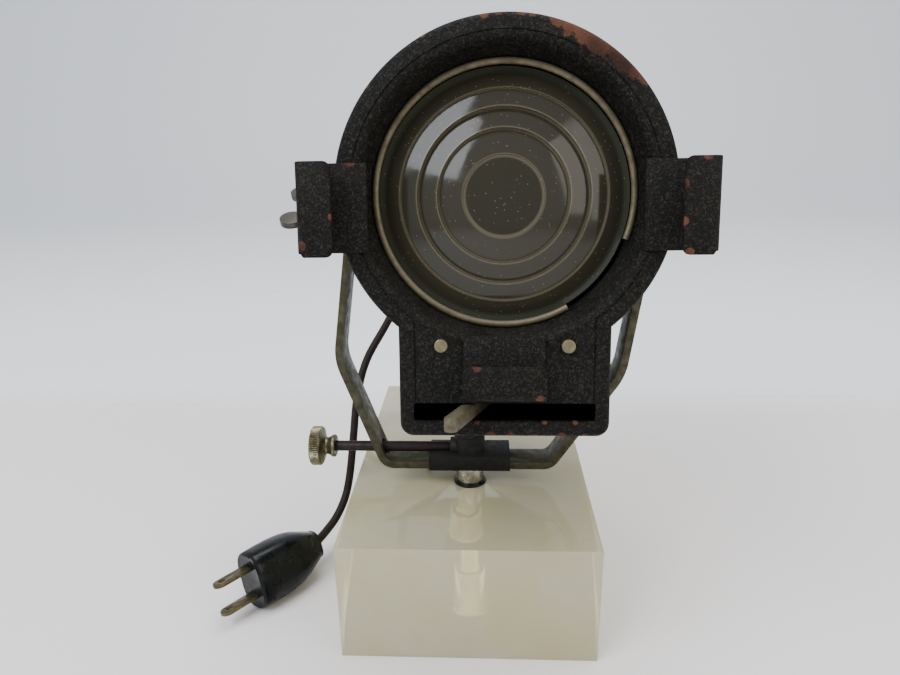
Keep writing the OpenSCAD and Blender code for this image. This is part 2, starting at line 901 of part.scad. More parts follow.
module lamp_bulb() {
    glass_t = 0.8;
    neck_r2 = cap_r - 0.6;
    base_z = socket_top + 3;
    color([0.9, 0.9, 0.9, 0.4])
    in_head()
    translate([0, lamp_y, 0])
    difference() {
        union() {
            sphere(r = bulb_r);
            translate([0, 0, base_z]) cylinder(r = neck_r2, h = -base_z);
        }
        sphere(r = bulb_r - glass_t);
        translate([0, 0, base_z + glass_t]) cylinder(r = neck_r2 - glass_t, h = -base_z - glass_t);
    }
}

module reflector() {
    depth = sqrt(reflector_r * reflector_r - reflector_rim * reflector_rim);
    out = 2 * reflector_r;
    color("white")
    in_head()
    translate([0, lamp_y, 0])
    difference() {
        sphere(r = reflector_r + sheet_t);
        sphere(r = reflector_r);
        translate([-out, -out, -out]) cube([2 * out, out + depth, 2 * out]);
        backward(0) cylinder(r = rivet_d / 2, h = out);
    }
}

module reflector_bracket() {
    behind = lamp_y + reflector_r + sheet_t;
    half = 6;
    color([0.55, 0.55, 0.52])
    in_head()
    difference() {
        translate([-half, behind, plate_top]) cube([2 * half, plate_t, 8 - plate_top]);
        backward(behind - 1) cylinder(r = rivet_d / 2, h = plate_t + 2);
    }
}

module reflector_rivet() {
    behind = lamp_y + reflector_r + sheet_t;
    color([0.45, 0.43, 0.38])
    in_head() {
        backward(behind - 2) cylinder(r = rivet_d / 2, h = plate_t + 2);
        backward(behind + plate_t) cylinder(r = rivet_d, h = 1);
    }
}

// ---------- cable outlet, cord and plug ----------

module cable_gland() {
    color([0.45, 0.43, 0.38])
    in_head()
    translate([outlet_x, 0, 0])
    difference() {
        union() {
            backward(shell_back - gland_tail) cylinder(r = gland_r - run, h = gland_tail + sheet_t + 1);
            backward(back_reach) cylinder(r = gland_hex, h = gland_l, $fn = 6);
        }
        backward(shell_back - gland_tail - 1)
            cylinder(d = cord_d + 2 * run, h = gland_tail + sheet_t + gland_l + 2);
    }
}

module strain_relief() {
    color([0.08, 0.07, 0.07])
    in_head()
    translate([outlet_x, 0, 0])
    difference() {
        backward(back_reach + gland_l) cylinder(r1 = gland_r, r2 = cord_d / 2 + 1.2, h = relief_l);
        backward(back_reach) cylinder(d = cord_d + 2 * run, h = gland_l + relief_l + 1);
    }
}

// A point on a smooth curve through the route, t from 0 to 1 between points i and i + 1
function route_point(i, t) =
    let (
        n = len(CORD) - 1,
        a = CORD[max(i - 1, 0)],
        b = CORD[i],
        c = CORD[min(i + 1, n)],
        d = CORD[min(i + 2, n)]
    )
    0.5 * (2 * b + (c - a) * t + (2 * a - 5 * b + 4 * c - d) * t * t
        + (3 * b - a - 3 * c + d) * t * t * t);

module cord() {
    n = len(CORD) - 1;
    line = [
        for (i = [0:n - 1], k = [0:cord_steps - 1]) route_point(i, k / cord_steps),
        CORD[n]
    ];
    last = len(line) - 1;
    rings = [for (i = [0:last])
        let (
            along = unit(line[min(i + 1, last)] - line[max(i - 1, 0)]),
            u = unit(cross(along, [1, 0, 0])),
            v = cross(along, u)
        )
        for (k = [0:cord_sides - 1])
            line[i] + cord_d / 2 * (u * cos(360 * k / cord_sides) + v * sin(360 * k / cord_sides))
    ];
    sides = [for (i = [0:last - 1], k = [0:cord_sides - 1])
        let (
            a = i * cord_sides + k,
            b = i * cord_sides + (k + 1) % cord_sides
        )
        each [[a, a + cord_sides, b], [b, a + cord_sides, b + cord_sides]]
    ];
    start = [[for (k = [0:cord_sides - 1]) k]];
    end = [[for (k = [cord_sides - 1:-1:0]) last * cord_sides + k]];
    color([0.16, 0.10, 0.08]) polyhedron(concat(rings), concat(start, end, sides));
}

// Plug's own frame: the cord enters at the origin and the blades point along +X
module in_plug() {
    lift = (plug_w / 2 - plug_round) * sin(plug_roll) + (plug_t / 2 - plug_round) * cos(plug_roll)
        + plug_round;
    at = CORD[len(CORD) - 1];
    translate([at.x, at.y, lift]) rotate([0, 0, plug_heading]) rotate([-plug_roll, 0, 0]) children();
}

// Rounded slice of the plug's body
module plug_slice(x, w, t, round) {
    for (y = [-1, 1], z = [-1, 1])
        translate([x, y * (w / 2 - round), z * (t / 2 - round)])
        rotate([0, 90, 0]) cylinder(r = round, h = 1, $fn = 32);
}

module plug_body() {
    tail_round = 4.5;
    color([0.07, 0.09, 0.11])
    in_plug()
    difference() {
        hull() {
            plug_slice(0, plug_tail_w, plug_tail_t, tail_round);
            plug_slice(plug_l * 0.45, plug_w * 0.93, plug_t, plug_round);
            plug_slice(plug_l * 0.7, plug_w, plug_t, plug_round);
            plug_slice(plug_l - 1, plug_w, plug_t * 0.9, plug_round);
        }
        for (side = [-1, 1])
            translate([plug_l - blade_root, side * blade_spacing / 2 - blade_t / 2, -blade_w / 2])
            cube([blade_root + 1, blade_t, blade_w]);
    }
}

module plug_blades() {
    tip = plug_l + blade_l;
    color([0.45, 0.40, 0.24])
    in_plug()
    for (side = [-1, 1])
        translate([0, side * blade_spacing / 2, 0]) rotate([90, 0, 0])
        translate([0, 0, -blade_t / 2]) linear_extrude(blade_t)
        difference() {
            union() {
                translate([plug_l - blade_root, -blade_w / 2])
                    square([blade_l + blade_root - blade_w / 2, blade_w]);
                translate([tip - blade_w / 2, 0]) circle(d = blade_w);
            }
            translate([tip - 4, 0]) circle(d = blade_hole_d);
        }
}

// ---------- what is drawn ----------

base_block();
stud_bolt();
stud_washer();
foot_ring();
collar();
yoke();
saddle();
saddle_rivets();
clamp_rod();
clamp_knob();
front_plate();
housing_shell();
rear_cover();
cover_screws();
vent_cap();
lens();
lens_wire();
left_clip();
right_clip();
bottom_clip();
tilt_bosses();
friction_washers();
pivot_bolt();
pivot_screw();
nut_washer();
wing_nut();
guide_rods();
rod_nuts();
lever_pin();
focus_lever();
carriage();
carriage_bushes();
drive_pin();
lamp_socket();
lamp_cap();
lamp_bulb();
reflector();
reflector_bracket();
reflector_rivet();
cable_gland();
strain_relief();
cord();
plug_body();
plug_blades();
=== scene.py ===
"""A small vintage fresnel spotlight in a flat-bar yoke, on a clear block, with its cord and plug."""

import json
import logging
import math
from collections.abc import Callable, Iterator, Sequence
from contextlib import contextmanager
from dataclasses import dataclass, replace
from enum import Enum

import bmesh
import bpy
from mathutils import Matrix, Vector


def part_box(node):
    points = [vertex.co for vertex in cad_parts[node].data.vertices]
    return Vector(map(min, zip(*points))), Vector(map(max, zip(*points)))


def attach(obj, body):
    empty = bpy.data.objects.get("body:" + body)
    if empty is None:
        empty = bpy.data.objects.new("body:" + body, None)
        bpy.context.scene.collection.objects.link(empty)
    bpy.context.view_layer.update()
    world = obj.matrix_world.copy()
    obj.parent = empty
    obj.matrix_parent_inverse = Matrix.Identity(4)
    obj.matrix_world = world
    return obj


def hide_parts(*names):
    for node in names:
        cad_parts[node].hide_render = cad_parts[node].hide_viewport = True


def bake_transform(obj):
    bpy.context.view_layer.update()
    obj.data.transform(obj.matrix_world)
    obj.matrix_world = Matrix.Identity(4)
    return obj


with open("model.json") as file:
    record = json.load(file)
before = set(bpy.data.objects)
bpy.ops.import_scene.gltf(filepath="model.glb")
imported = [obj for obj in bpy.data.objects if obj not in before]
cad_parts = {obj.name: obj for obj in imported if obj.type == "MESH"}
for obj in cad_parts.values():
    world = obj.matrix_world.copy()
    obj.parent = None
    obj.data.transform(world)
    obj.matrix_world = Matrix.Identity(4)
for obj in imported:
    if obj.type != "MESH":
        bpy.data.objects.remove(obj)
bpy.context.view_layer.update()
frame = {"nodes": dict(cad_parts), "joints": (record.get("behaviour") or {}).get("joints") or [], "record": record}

MM = 0.001
TURN = 2 * math.pi
WELD = 1e-6  # metres
SHARP = 35.0  # degrees
FACING = 0.9  # least share of a normal that points the way a face looks
log = logging.getLogger("spotlight")

Colour = tuple[float, float, float, float]
Piece = bpy.types.Object
Tree = bpy.types.NodeTree
Socket = bpy.types.NodeSocket
Point = tuple[float, float, float]
Path = Sequence[tuple[float, float]]


class Body(Enum):
    """The bodies that pieces ride on."""

    BASE = "base"
    YOKE = "yoke"
    CLAMP_SCREW = "clamp_screw"
    HEAD = "head"
    WING_NUT = "wing_nut"
    FOCUS_LEVER = "focus_lever"


class Side(Enum):
    """Which side of the head, seen from the front."""

    LEFT = -1
    RIGHT = 1


# ---------- places ----------


def joint(name: str) -> dict:
    """The record's joint of that name."""
    return next(j for j in frame["joints"] if j["name"] == name)


def head_place() -> Matrix:
    """Matrix from the head's own axes, about its tilt pivots with -Y to the front, to the row frame."""
    back = Vector(joint("carriage_slide")["axis"])
    tilt = math.atan2(-back.z, back.y)
    return Matrix.Translation(joint("tilt")["pos_m"]) @ Matrix.Rotation(-tilt, 4, "X")


def shift(x: float = 0.0, y: float = 0.0, z: float = 0.0) -> Matrix:
    """A move in millimetres."""
    return Matrix.Translation((x * MM, y * MM, z * MM))


HEAD = head_place()
FACE_ON = Matrix.Rotation(-TURN / 4, 4, "X")
TO_LEFT = Matrix.Rotation(-TURN / 4, 4, "Y")


# ---------- modelling ----------


def linked(name: str, data: bpy.types.ID) -> Piece:
    """Makes an object of some data and puts it in the scene."""
    made = bpy.data.objects.new(name, data)
    bpy.context.scene.collection.objects.link(made)
    return made


def pick(piece: Piece) -> None:
    """Makes a piece the active one and the only one selected."""
    bpy.ops.object.select_all(action="DESELECT")
    piece.select_set(True)
    bpy.context.view_layer.objects.active = piece


@contextmanager
def editing(piece: Piece, mode: str = "FACE", whole: bool = False) -> Iterator[None]:
    """Opens a piece in edit mode, and closes it again.

    Args:
        piece: the mesh object to edit.
        mode: VERT, EDGE or FACE.
        whole: whether all of it starts selected, or nothing.
    """
    pick(piece)
    bpy.ops.object.mode_set(mode="EDIT")
    bpy.ops.mesh.select_mode(type=mode)
    bpy.ops.mesh.select_all(action="SELECT" if whole else "DESELECT")
    yield
    bpy.ops.object.mode_set(mode="OBJECT")


def choose(piece: Piece, kind: str, test: Callable) -> None:
    """Selects the vertices, edges or faces of a piece that pass a test.

    Args:
        piece: the object in edit mode.
        kind: verts, edges or faces.
        test: is given each element and says whether to select it.
    """
    bpy.ops.mesh.select_all(action="DESELECT")
    mesh = bmesh.from_edit_mesh(piece.data)
    for element in getattr(mesh, kind):
        if test(element):
            element.select_set(True)
    mesh.select_flush_mode()
    bmesh.update_edit_mesh(piece.data)


def add(primitive: Callable, name: str, **sizes: object) -> Piece:
    """Adds a primitive at its size and place, named and with its transform applied.

    Args:
        primitive: the bpy.ops.mesh operator.
        name: the new piece's name.
        sizes: the operator's own arguments.

    Returns:
        The new object.
    """
    bpy.ops.object.select_all(action="DESELECT")
    primitive(**sizes)
    piece = bpy.context.object
    piece.name = piece.data.name = name
    bpy.ops.object.transform_apply(location=True, rotation=True, scale=True)
    return piece


def apply(piece: Piece, kind: str, **settings: object) -> None:
    """Adds one modifier to a piece and applies it.

    Args:
        piece: the object to change.
        kind: the modifier's type.
        settings: the modifier's own values.
    """
    pick(piece)
    modifier = piece.modifiers.new(kind.title(), kind)
    for name, value in settings.items():
        setattr(modifier, name, value)
    bpy.ops.object.modifier_apply(modifier=modifier.name)


def combine(piece: Piece, other: Piece, operation: str = "DIFFERENCE") -> None:
    """Cuts another object out of a piece, or joins it on, and removes the other."""
    apply(piece, "BOOLEAN", object=other, operation=operation, solver="EXACT")
    apply(piece, "TRIANGULATE")
    bpy.data.objects.remove(other)


def smooth(piece: Piece, angle: float = SHARP) -> None:
    """Shades a piece smooth, but for edges sharper than an angle in degrees."""
    pick(piece)
    bpy.ops.object.shade_smooth_by_angle(angle=math.radians(angle))


def clean(piece: Piece) -> None:
    """Welds the doubles of a closed piece and turns its faces outwards."""
    with editing(piece, whole=True):
        bpy.ops.mesh.remove_doubles(threshold=WELD)
        bpy.ops.mesh.normals_make_consistent(inside=False)


def chain(name: str, points: Path, closed: bool = False) -> Piece:
    """Draws a line of edges in X and Z by extruding one vertex.

    Args:
        name: the new piece's name.
        points: its points, in millimetres.
        closed: whether the last point joins the first.

    Returns:
        The new object, a wire.
    """
    piece = add(bpy.ops.mesh.primitive_plane_add, name, size=MM)
    with editing(piece, "VERT", whole=True):
        bpy.ops.mesh.merge(type="CENTER")
        before = (0.0, 0.0)
        for index, point in enumerate(points):
            move = ((point[0] - before[0]) * MM, 0.0, (point[1] - before[1]) * MM)
            if index == 0:
                bpy.ops.transform.translate(value=move)
            else:
                bpy.ops.mesh.extrude_vertices_move(TRANSFORM_OT_translate={"value": move})
            before = point
        if closed:
            ends = [Vector((p[0] * MM, 0, p[1] * MM)) for p in (points[0], points[-1])]
            choose(piece, "verts", lambda v: min((v.co - e).length for e in ends) < WELD)
            bpy.ops.mesh.edge_face_add()
    return piece


def extrude(x: float = 0.0, y: float = 0.0, z: float = 0.0) -> None:
    """Extrudes what is selected by a move in millimetres."""
    bpy.ops.mesh.extrude_region_move(TRANSFORM_OT_translate={"value": (x * MM, y * MM, z * MM)})


def bar(name: str, centre: Point, size: Point, axis: int, radius: float, segments: int,
        below: float = math.inf) -> Piece:
    """Makes a block whose edges along one axis are rounded. Lengths are in millimetres.

    Args:
        name: the new piece's name.
        centre: its middle.
        size: its length along each axis.
        axis: number of the axis that the rounded edges follow.
        radius: radius of those edges.
        segments: faces across each of them.
        below: only edges under this height are rounded.

    Returns:
        The new piece.
    """
    made = add(bpy.ops.mesh.primitive_cube_add, name, size=1, location=[c * MM for c in centre],
               scale=[s * MM for s in size])
    with editing(made, "EDGE"):
        choose(made, "edges", lambda e: abs(e.verts[0].co[axis] - e.verts[1].co[axis]) > WELD
               and e.verts[0].co.z < below * MM)
        bpy.ops.mesh.bevel(offset=radius * MM, segments=segments, affect="EDGES")
    return made


def turned(name: str, profile: Path, steps: int = 96, closed: bool = False) -> Piece:
    """Spins a profile about Z, as on a lathe.

    Args:
        name: the new piece's name.
        profile: radius and height pairs in millimetres, from axis to axis or closed.
        steps: faces round the piece.
        closed: whether the profile is a loop off the axis.

    Returns:
        The turned piece, about the origin.
    """
    piece = chain(name, profile, closed)
    with editing(piece, whole=True):
        bpy.ops.mesh.spin(steps=steps, angle=TURN, center=(0, 0, 0), axis=(0, 0, 1))
    clean(piece)
    return piece


def fillet(points: Path, radius: float, count: int = 5) -> list[tuple[float, float]]:
    """Rounds the inner corners of a path.

    Args:
        points: the path's corners.
        radius: radius of each corner.
        count: stretches along each corner.

    Returns:
        The points of the rounded path.
    """
    out = [tuple(points[0])]
    for before, here, after in zip(points, points[1:], points[2:]):
        a, b, c = Vector(before), Vector(here), Vector(after)
        u, v = (a - b).normalized(), (c - b).normalized()
        reach = radius / math.tan(u.angle(v) / 2)
        start, end = b + u * reach, b + v * reach
        for k in range(count + 1):
            t = k / count
            p = start * (1 - t) ** 2 + b * 2 * t * (1 - t) + end * t**2
            out.append((p.x, p.y))
    return out + [tuple(points[-1])]


def softened(node: str, edge: float) -> Piece:
    """Copies a node, merges its loose triangles and rounds its sharp edges.

    Args:
        node: the CAD node's name.
        edge: how far the rounding reaches, in millimetres.

    Returns:
        The new piece.
    """
    piece = linked(f"{node}_piece", frame["nodes"][node].data.copy())
    with editing(piece, whole=True):
        bpy.ops.mesh.customdata_custom_splitnormals_clear()
        bpy.ops.mesh.remove_doubles(threshold=WELD)
        bpy.ops.mesh.dissolve_limited(angle_limit=math.radians(1))
    apply(piece, "BEVEL", width=edge * MM, segments=2, limit_method="ANGLE",
          angle_limit=math.radians(SHARP), miter_outer="MITER_ARC")
    smooth(piece)
    return piece


# ---------- finishes ----------


def linear(colour: str) -> Colour:
    """Turns an sRGB hex colour to linear red, green, blue and alpha."""
    channels = (int(colour[i : i + 2], 16) / 255 for i in (1, 3, 5))
    return (*(c / 12.92 if c <= 0.04045 else ((c + 0.055) / 1.055) ** 2.4 for c in channels), 1.0)


def add_node(tree: Tree, kind: str, inputs: dict | None = None,
             stops: Sequence[tuple[float, Colour]] = (), **settings: object) -> bpy.types.Node:
    """Adds one node to a material.

    Args:
        tree: the material's node tree.
        kind: the node's type.
        inputs: a value, or a socket to link from, for each input by name or number.
        stops: places and colours of a colour ramp.
        settings: the node's own properties.

    Returns:
        The new node.
    """
    node = tree.nodes.new(kind)
    for name, value in settings.items():
        setattr(node, name, value)
    for key, value in (inputs or {}).items():
        if isinstance(value, Socket):
            tree.links.new(value, node.inputs[key])
        else:
            node.inputs[key].default_value = value
    for index, (place, colour) in enumerate(stops):
        ramp = node.color_ramp.elements
        element = ramp[index] if index < 2 else ramp.new(place)
        element.position, element.color = place, colour
    return node


@dataclass(frozen=True)
class Finish:
    """A surface with clouded colour, patchy gloss, settled dust and a fine grain.

    Sizes are in millimetres. slot is the record's material slot; it is not used.
    """

    slot: str
    name: str
    colour: str
    shade: str
    roughness: float
    metallic: float = 0.0
    cloud: float = 5.0
    gloss_swing: float = 0.12
    grain: float = 0.4
    grain_depth: float = 0.03
    grain_detail: float = 2.0
    grain_twist: float = 0.0
    dust: float = 0.0
    dust_colour: str = "#8f8a7c"
    coat: float = 0.0
    specular: float = 0.5

    def material(self) -> bpy.types.Material:
        """The finish's material, made once."""
        made = bpy.data.materials.get(self.name)
        if made is None:
            made = bpy.data.materials.new(self.name)
            made.use_nodes = True
            self.build(made.node_tree, made.node_tree.nodes["Principled BSDF"])
        return made

    def cloudiness(self, tree: Tree) -> Socket:
        """A slow noise from 0 to 1."""
        place = add_node(tree, "ShaderNodeTexCoord").outputs["Object"]
        noise = add_node(tree, "ShaderNodeTexNoise",
                         {"Vector": place, "Scale": 1 / (self.cloud * MM), "Detail": 4.0, "Roughness": 0.6})
        return add_node(tree, "ShaderNodeMapRange",
                        {"Value": noise.outputs["Fac"], "From Min": 0.33, "From Max": 0.67}).outputs[0]

    def base(self, tree: Tree, cloud: Socket) -> Socket:
        """The clouded base colour, with dust on faces that look up."""
        mixed = add_node(tree, "ShaderNodeMix", {0: cloud, 6: linear(self.colour), 7: linear(self.shade)},
                         data_type="RGBA").outputs[2]
        if not self.dust:
            return mixed
        normal = add_node(tree, "ShaderNodeTexCoord").outputs["Normal"]
        up = add_node(tree, "ShaderNodeSeparateXYZ", {0: normal}).outputs["Z"]
        lying = add_node(tree, "ShaderNodeMapRange",
                         {"Value": up, "From Min": 0.2, "From Max": 1.0, "To Max": self.dust}).outputs[0]
        patchy = add_node(tree, "ShaderNodeMath", {0: lying, 1: cloud}, operation="MULTIPLY").outputs[0]
        return add_node(tree, "ShaderNodeMix", {0: patchy, 6: mixed, 7: linear(self.dust_colour)},
                        data_type="RGBA").outputs[2]

    def relief(self, tree: Tree) -> Socket:
        """The height of the grain, from 0 to 1."""
        place = add_node(tree, "ShaderNodeTexCoord").outputs["Object"]
        return add_node(tree, "ShaderNodeTexNoise",
                        {"Vector": place, "Scale": 1 / (self.grain * MM), "Detail": self.grain_detail,
                         "Distortion": self.grain_twist}).outputs["Fac"]

    def build(self, tree: Tree, shader: bpy.types.Node) -> None:
        """Links the finish's nodes to the shader.

        Args:
            tree: the material's node tree.
            shader: its Principled BSDF.
        """
        cloud = self.cloudiness(tree)
        tree.links.new(self.base(tree, cloud), shader.inputs["Base Color"])
        rough = add_node(tree, "ShaderNodeMapRange",
                         {"Value": cloud, "To Min": max(self.roughness - self.gloss_swing, 0.02),
                          "To Max": min(self.roughness + self.gloss_swing, 1.0)}).outputs[0]
        tree.links.new(rough, shader.inputs["Roughness"])
        bump = add_node(tree, "ShaderNodeBump",
                        {"Height": self.relief(tree), "Distance": self.grain_depth * MM,
                         "Strength": 1.0}).outputs[0]
        tree.links.new(bump, shader.inputs["Normal"])
        shader.inputs["Metallic"].default_value = self.metallic
        shader.inputs["Coat Weight"].default_value = self.coat
        shader.inputs["Coat Roughness"].default_value = 0.15
        shader.inputs["Specular IOR Level"].default_value = self.specular


@dataclass(frozen=True)
class Patch:
    """A place where the paint has gone: its centre about the head's pivots, and its reach, in millimetres."""

    x: float
    y: float
    z: float
    reach: float


@dataclass(frozen=True)
class WrinklePaint(Finish):
    """Black wrinkle enamel, baked on sheet steel: a dull skin of fine ridges, rusted where it is worn."""

    # Wrinkles about three quarters of a millimetre apart, bent into ridges
    grain: float = 0.75
    grain_depth: float = 0.42
    grain_detail: float = 3.0
    grain_twist: float = 1.2
    patches: tuple[Patch, ...] = ()
    # crest colours a painted highlight: the grain's crests are lightened as if light caught them
    crest: str = "#34322b"
    rust: str = "#57382a"
    rust_dark: str = "#2c1d17"
    ragged: float = 2.2

    def rusted(self, tree: Tree) -> Socket:
        """Rust's mask: 1 inside the patches, with a ragged edge."""
        place = add_node(tree, "ShaderNodeTexCoord").outputs["Object"]
        ragged = add_node(tree, "ShaderNodeTexNoise",
                          {"Vector": place, "Scale": 1 / (self.ragged * MM), "Detail": 5.0,
                           "Roughness": 0.65}).outputs["Fac"]
        total = None
        for patch in self.patches:
            centre = HEAD @ Vector((patch.x * MM, patch.y * MM, patch.z * MM))
            far = add_node(tree, "ShaderNodeVectorMath", {0: place, 1: tuple(centre)}, operation="DISTANCE")
            near = add_node(tree, "ShaderNodeMapRange",
                            {"Value": far.outputs["Value"], "From Max": patch.reach * MM, "To Min": 1.0,
                             "To Max": 0.0}).outputs[0]
            total = near if total is None else add_node(
                tree, "ShaderNodeMath", {0: total, 1: near}, operation="MAXIMUM").outputs[0]
        raised = add_node(tree, "ShaderNodeMath", {0: total, 1: ragged}, operation="MULTIPLY").outputs[0]
        return add_node(tree, "ShaderNodeMapRange",
                        {"Value": raised, "From Min": 0.2, "From Max": 0.26}).outputs[0]

    def build(self, tree: Tree, shader: bpy.types.Node) -> None:
        """Adds painted highlights on the crests of the grain, and rust, to the plain finish."""
        super().build(tree, shader)
        # Painted highlight: the crests of the grain are mixed towards the lighter crest colour
        crest = add_node(tree, "ShaderNodeMapRange",
                         {"Value": self.relief(tree), "From Min": 0.5, "From Max": 0.66,
                          "To Max": 0.6}).outputs[0]
        paint = shader.inputs["Base Color"].links[0].from_socket
        lit = add_node(tree, "ShaderNodeMix", {0: crest, 6: paint, 7: linear(self.crest)},
                       data_type="RGBA").outputs[2]
        tree.links.new(lit, shader.inputs["Base Color"])
        if not self.patches:
            return
        mask = self.rusted(tree)
        cloud = self.cloudiness(tree)
        rust = add_node(tree, "ShaderNodeMix", {0: cloud, 6: linear(self.rust), 7: linear(self.rust_dark)},
                        data_type="RGBA").outputs[2]
        worn = add_node(tree, "ShaderNodeMix", {0: mask, 6: lit, 7: rust}, data_type="RGBA").outputs[2]
        tree.links.new(worn, shader.inputs["Base Color"])
        paint_rough = shader.inputs["Roughness"].links[0].from_socket
        rough = add_node(tree, "ShaderNodeMix", {0: mask, 2: paint_rough, 3: 0.85}, data_type="FLOAT")
        tree.links.new(rough.outputs[0], shader.inputs["Roughness"])


@dataclass(frozen=True)
class ClearPlastic(Finish):
    """Cast acrylic, polished and gone a little milky and yellow: light gathers in its faces and edges."""

    transmission: float = 0.8
    ior: float = 1.49

    def build(self, tree: Tree, shader: bpy.types.Node) -> None:
        """Makes the plain finish clear."""
        super().build(tree, shader)
        shader.inputs["Transmission Weight"].default_value = self.transmission
        shader.inputs["IOR"].default_value = self.ior


@dataclass(frozen=True)
class LensGlass(ClearPlastic):
    """Pressed soda-lime glass with stepped rings: dark with the lamp off, with dust at its risers, a darker middle
    disc and a painted reflection on its bevel.
    """

    riser: str = "#5f5a49"
    # The bevel's colour is a painted reflection: a grey band where the bevel would mirror the room
    bevel_reflection: str = "#3c3e34"
    speck_colour: str = "#a39b86"
    speck_gap: float = 1.6
    span: float = 40.0
    middle: tuple[float, float, float, float] = (11.2, 11.8, 12.3, 12.7)
    rings: tuple[Point, ...] = ((19.9, 0.5, 0.2), (26.0, 0.45, 0.2), (31.3, 0.25, 0.1))
    bevel: tuple[float, float] = (35.2, 36.6)

    def build(self, tree: Tree, shader: bpy.types.Node) -> None:
        """Adds dust lines at the risers, a darker middle disc and a painted reflection on the bevel."""
        super().build(tree, shader)
        place = add_node(tree, "ShaderNodeTexCoord").outputs["Object"]
        centre = HEAD.translation
        axis = HEAD.to_3x3() @ Vector((0, 1, 0))
        away = add_node(tree, "ShaderNodeVectorMath", {0: place, 1: tuple(centre)},
                        operation="SUBTRACT").outputs[0]
        along = add_node(tree, "ShaderNodeVectorMath", {0: away, 1: tuple(axis)},
                         operation="CROSS_PRODUCT").outputs[0]
        radius = add_node(tree, "ShaderNodeVectorMath", {0: along}, operation="LENGTH").outputs["Value"]
        share = add_node(tree, "ShaderNodeMath", {0: radius, 1: self.span * MM},
                         operation="DIVIDE").outputs[0]
        glass, darker_middle, edge = linear(self.colour), linear(self.shade), linear(self.riser)
        # The middle disc is painted in the darker second colour, darker than the glass around it
        stops = [(0.0, darker_middle), *zip(self.middle, (darker_middle, edge, edge, glass))]
        for ring, inner, outer in self.rings:
            stops += [(ring - inner - 0.3, glass), (ring - inner, edge), (ring + outer, edge),
                      (ring + outer + 0.4, glass)]
        # Painted reflection: from the bevel outwards the glass takes the bevel's colour
        stops += zip(self.bevel, (glass, linear(self.bevel_reflection)))
        base = add_node(tree, "ShaderNodeValToRGB", {0: share},
                        stops=[(at / self.span, colour) for at, colour in stops]).outputs[0]
        # Dust specks a quarter of a millimetre across
        specks = add_node(tree, "ShaderNodeTexVoronoi",
                          {"Vector": place, "Scale": 1 / (self.speck_gap * MM)}).outputs["Distance"]
        speck = add_node(tree, "ShaderNodeMapRange",
                         {"Value": specks, "From Min": 0.07, "From Max": 0.1, "To Min": 0.5,
                          "To Max": 0.0}).outputs[0]
        dust = add_node(tree, "ShaderNodeMix", {0: speck, 6: base, 7: linear(self.speck_colour)},
                        data_type="RGBA").outputs[2]
        tree.links.new(dust, shader.inputs["Base Color"])


ACRYLIC = ClearPlastic("acrylic", "yellowed_cast_acrylic", "#fff8d4", "#fbf0bc", 0.08, cloud=30,
                       gloss_swing=0.03, grain=2.0, grain_depth=0.004, transmission=0.64)
BRIGHT_STEEL = Finish("bright_steel", "polished_zinc_plate", "#b9b8ac", "#8f8d80", 0.24, 1.0, cloud=2.5,
                      grain=0.3, grain_depth=0.01)
RUBBER = Finish("black_rubber", "moulded_black_rubber", "#06090b", "#0b1013", 0.3, cloud=9, grain=0.25,
                grain_depth=0.01, dust=0.02, specular=0.2)
YOKE_STEEL = Finish("yoke_steel", "dark_oxidised_flat_bar", "#4a4734", "#2d2b1e", 0.5, 0.65, cloud=3.5,
                    grain=0.35, grain_depth=0.035, dust=0.2, dust_colour="#6f6b58")
SADDLE_IRON = Finish("saddle_black", "black_cast_iron", "#131311", "#0b0b0a", 0.6, 0.2, cloud=3.0, grain=0.5,
                     grain_depth=0.07, dust=0.04, specular=0.22)
ROD_BROWN = Finish("rod_brown", "browned_mild_steel_rod", "#211712", "#140d0a", 0.5, 0.2, cloud=3.0,
                   grain=0.3, grain_depth=0.03, specular=0.25)
NICKEL = Finish("nickel", "dull_nickel_plate", "#7c785f", "#4f4b39", 0.36, 0.95, cloud=2.0, grain=0.25,
                grain_depth=0.02)
WIRE = Finish("dull_wire", "dusty_spring_wire", "#625a44", "#453e2c", 0.5, 0.4, cloud=3.0, grain=0.3,
              grain_depth=0.02, dust=0.25)
DULL_STEEL = Finish("dull_steel", "dull_zinc_plated_steel", "#504e48", "#37352f", 0.45, 0.75, cloud=2.5,
                    grain=0.3, grain_depth=0.02, dust=0.2)
FIBRE = Finish("fibre", "vulcanised_fibre", "#5a3b27", "#452c1e", 0.7, cloud=1.5, grain=0.2, grain_depth=0.02)
ROD_STEEL = Finish("rod_steel", "drawn_steel_rod", "#827b60", "#645e49", 0.42, 0.8, cloud=2.0, grain=0.3,
                   grain_depth=0.02)
LEVER_STEEL = Finish("lever_steel", "dusty_steel_lever", "#615b48", "#454032", 0.6, 0.55, cloud=1.6,
                     grain=0.45, grain_depth=0.06, dust=0.35, dust_colour="#7b745e")
SHEET_ZINC = Finish("sheet_zinc", "galvanised_sheet", "#9b9c98", "#7f807c", 0.4, 0.9, cloud=6, grain=0.5,
                    grain_depth=0.02)
BRASS = Finish("brass", "plain_brass", "#b08d4a", "#8a6c38", 0.32, 1.0, cloud=2.0, grain=0.3,
               grain_depth=0.01)
PORCELAIN = Finish("porcelain", "glazed_porcelain", "#e6e2d4", "#d8d2c0", 0.18, cloud=8, grain=1.0,
                   grain_depth=0.01, coat=0.6)
BULB_GLASS = ClearPlastic("bulb_glass", "clear_bulb_glass", "#f4f4f2", "#eeeeea", 0.04, cloud=20,
                          gloss_swing=0.02, grain=3.0, grain_depth=0.002, transmission=1.0, ior=1.5)
MIRROR = Finish("reflector_mirror", "polished_reflector", "#dcdcdc", "#c9c9c9", 0.1, 1.0, cloud=10,
                gloss_swing=0.05, grain=1.0, grain_depth=0.003)
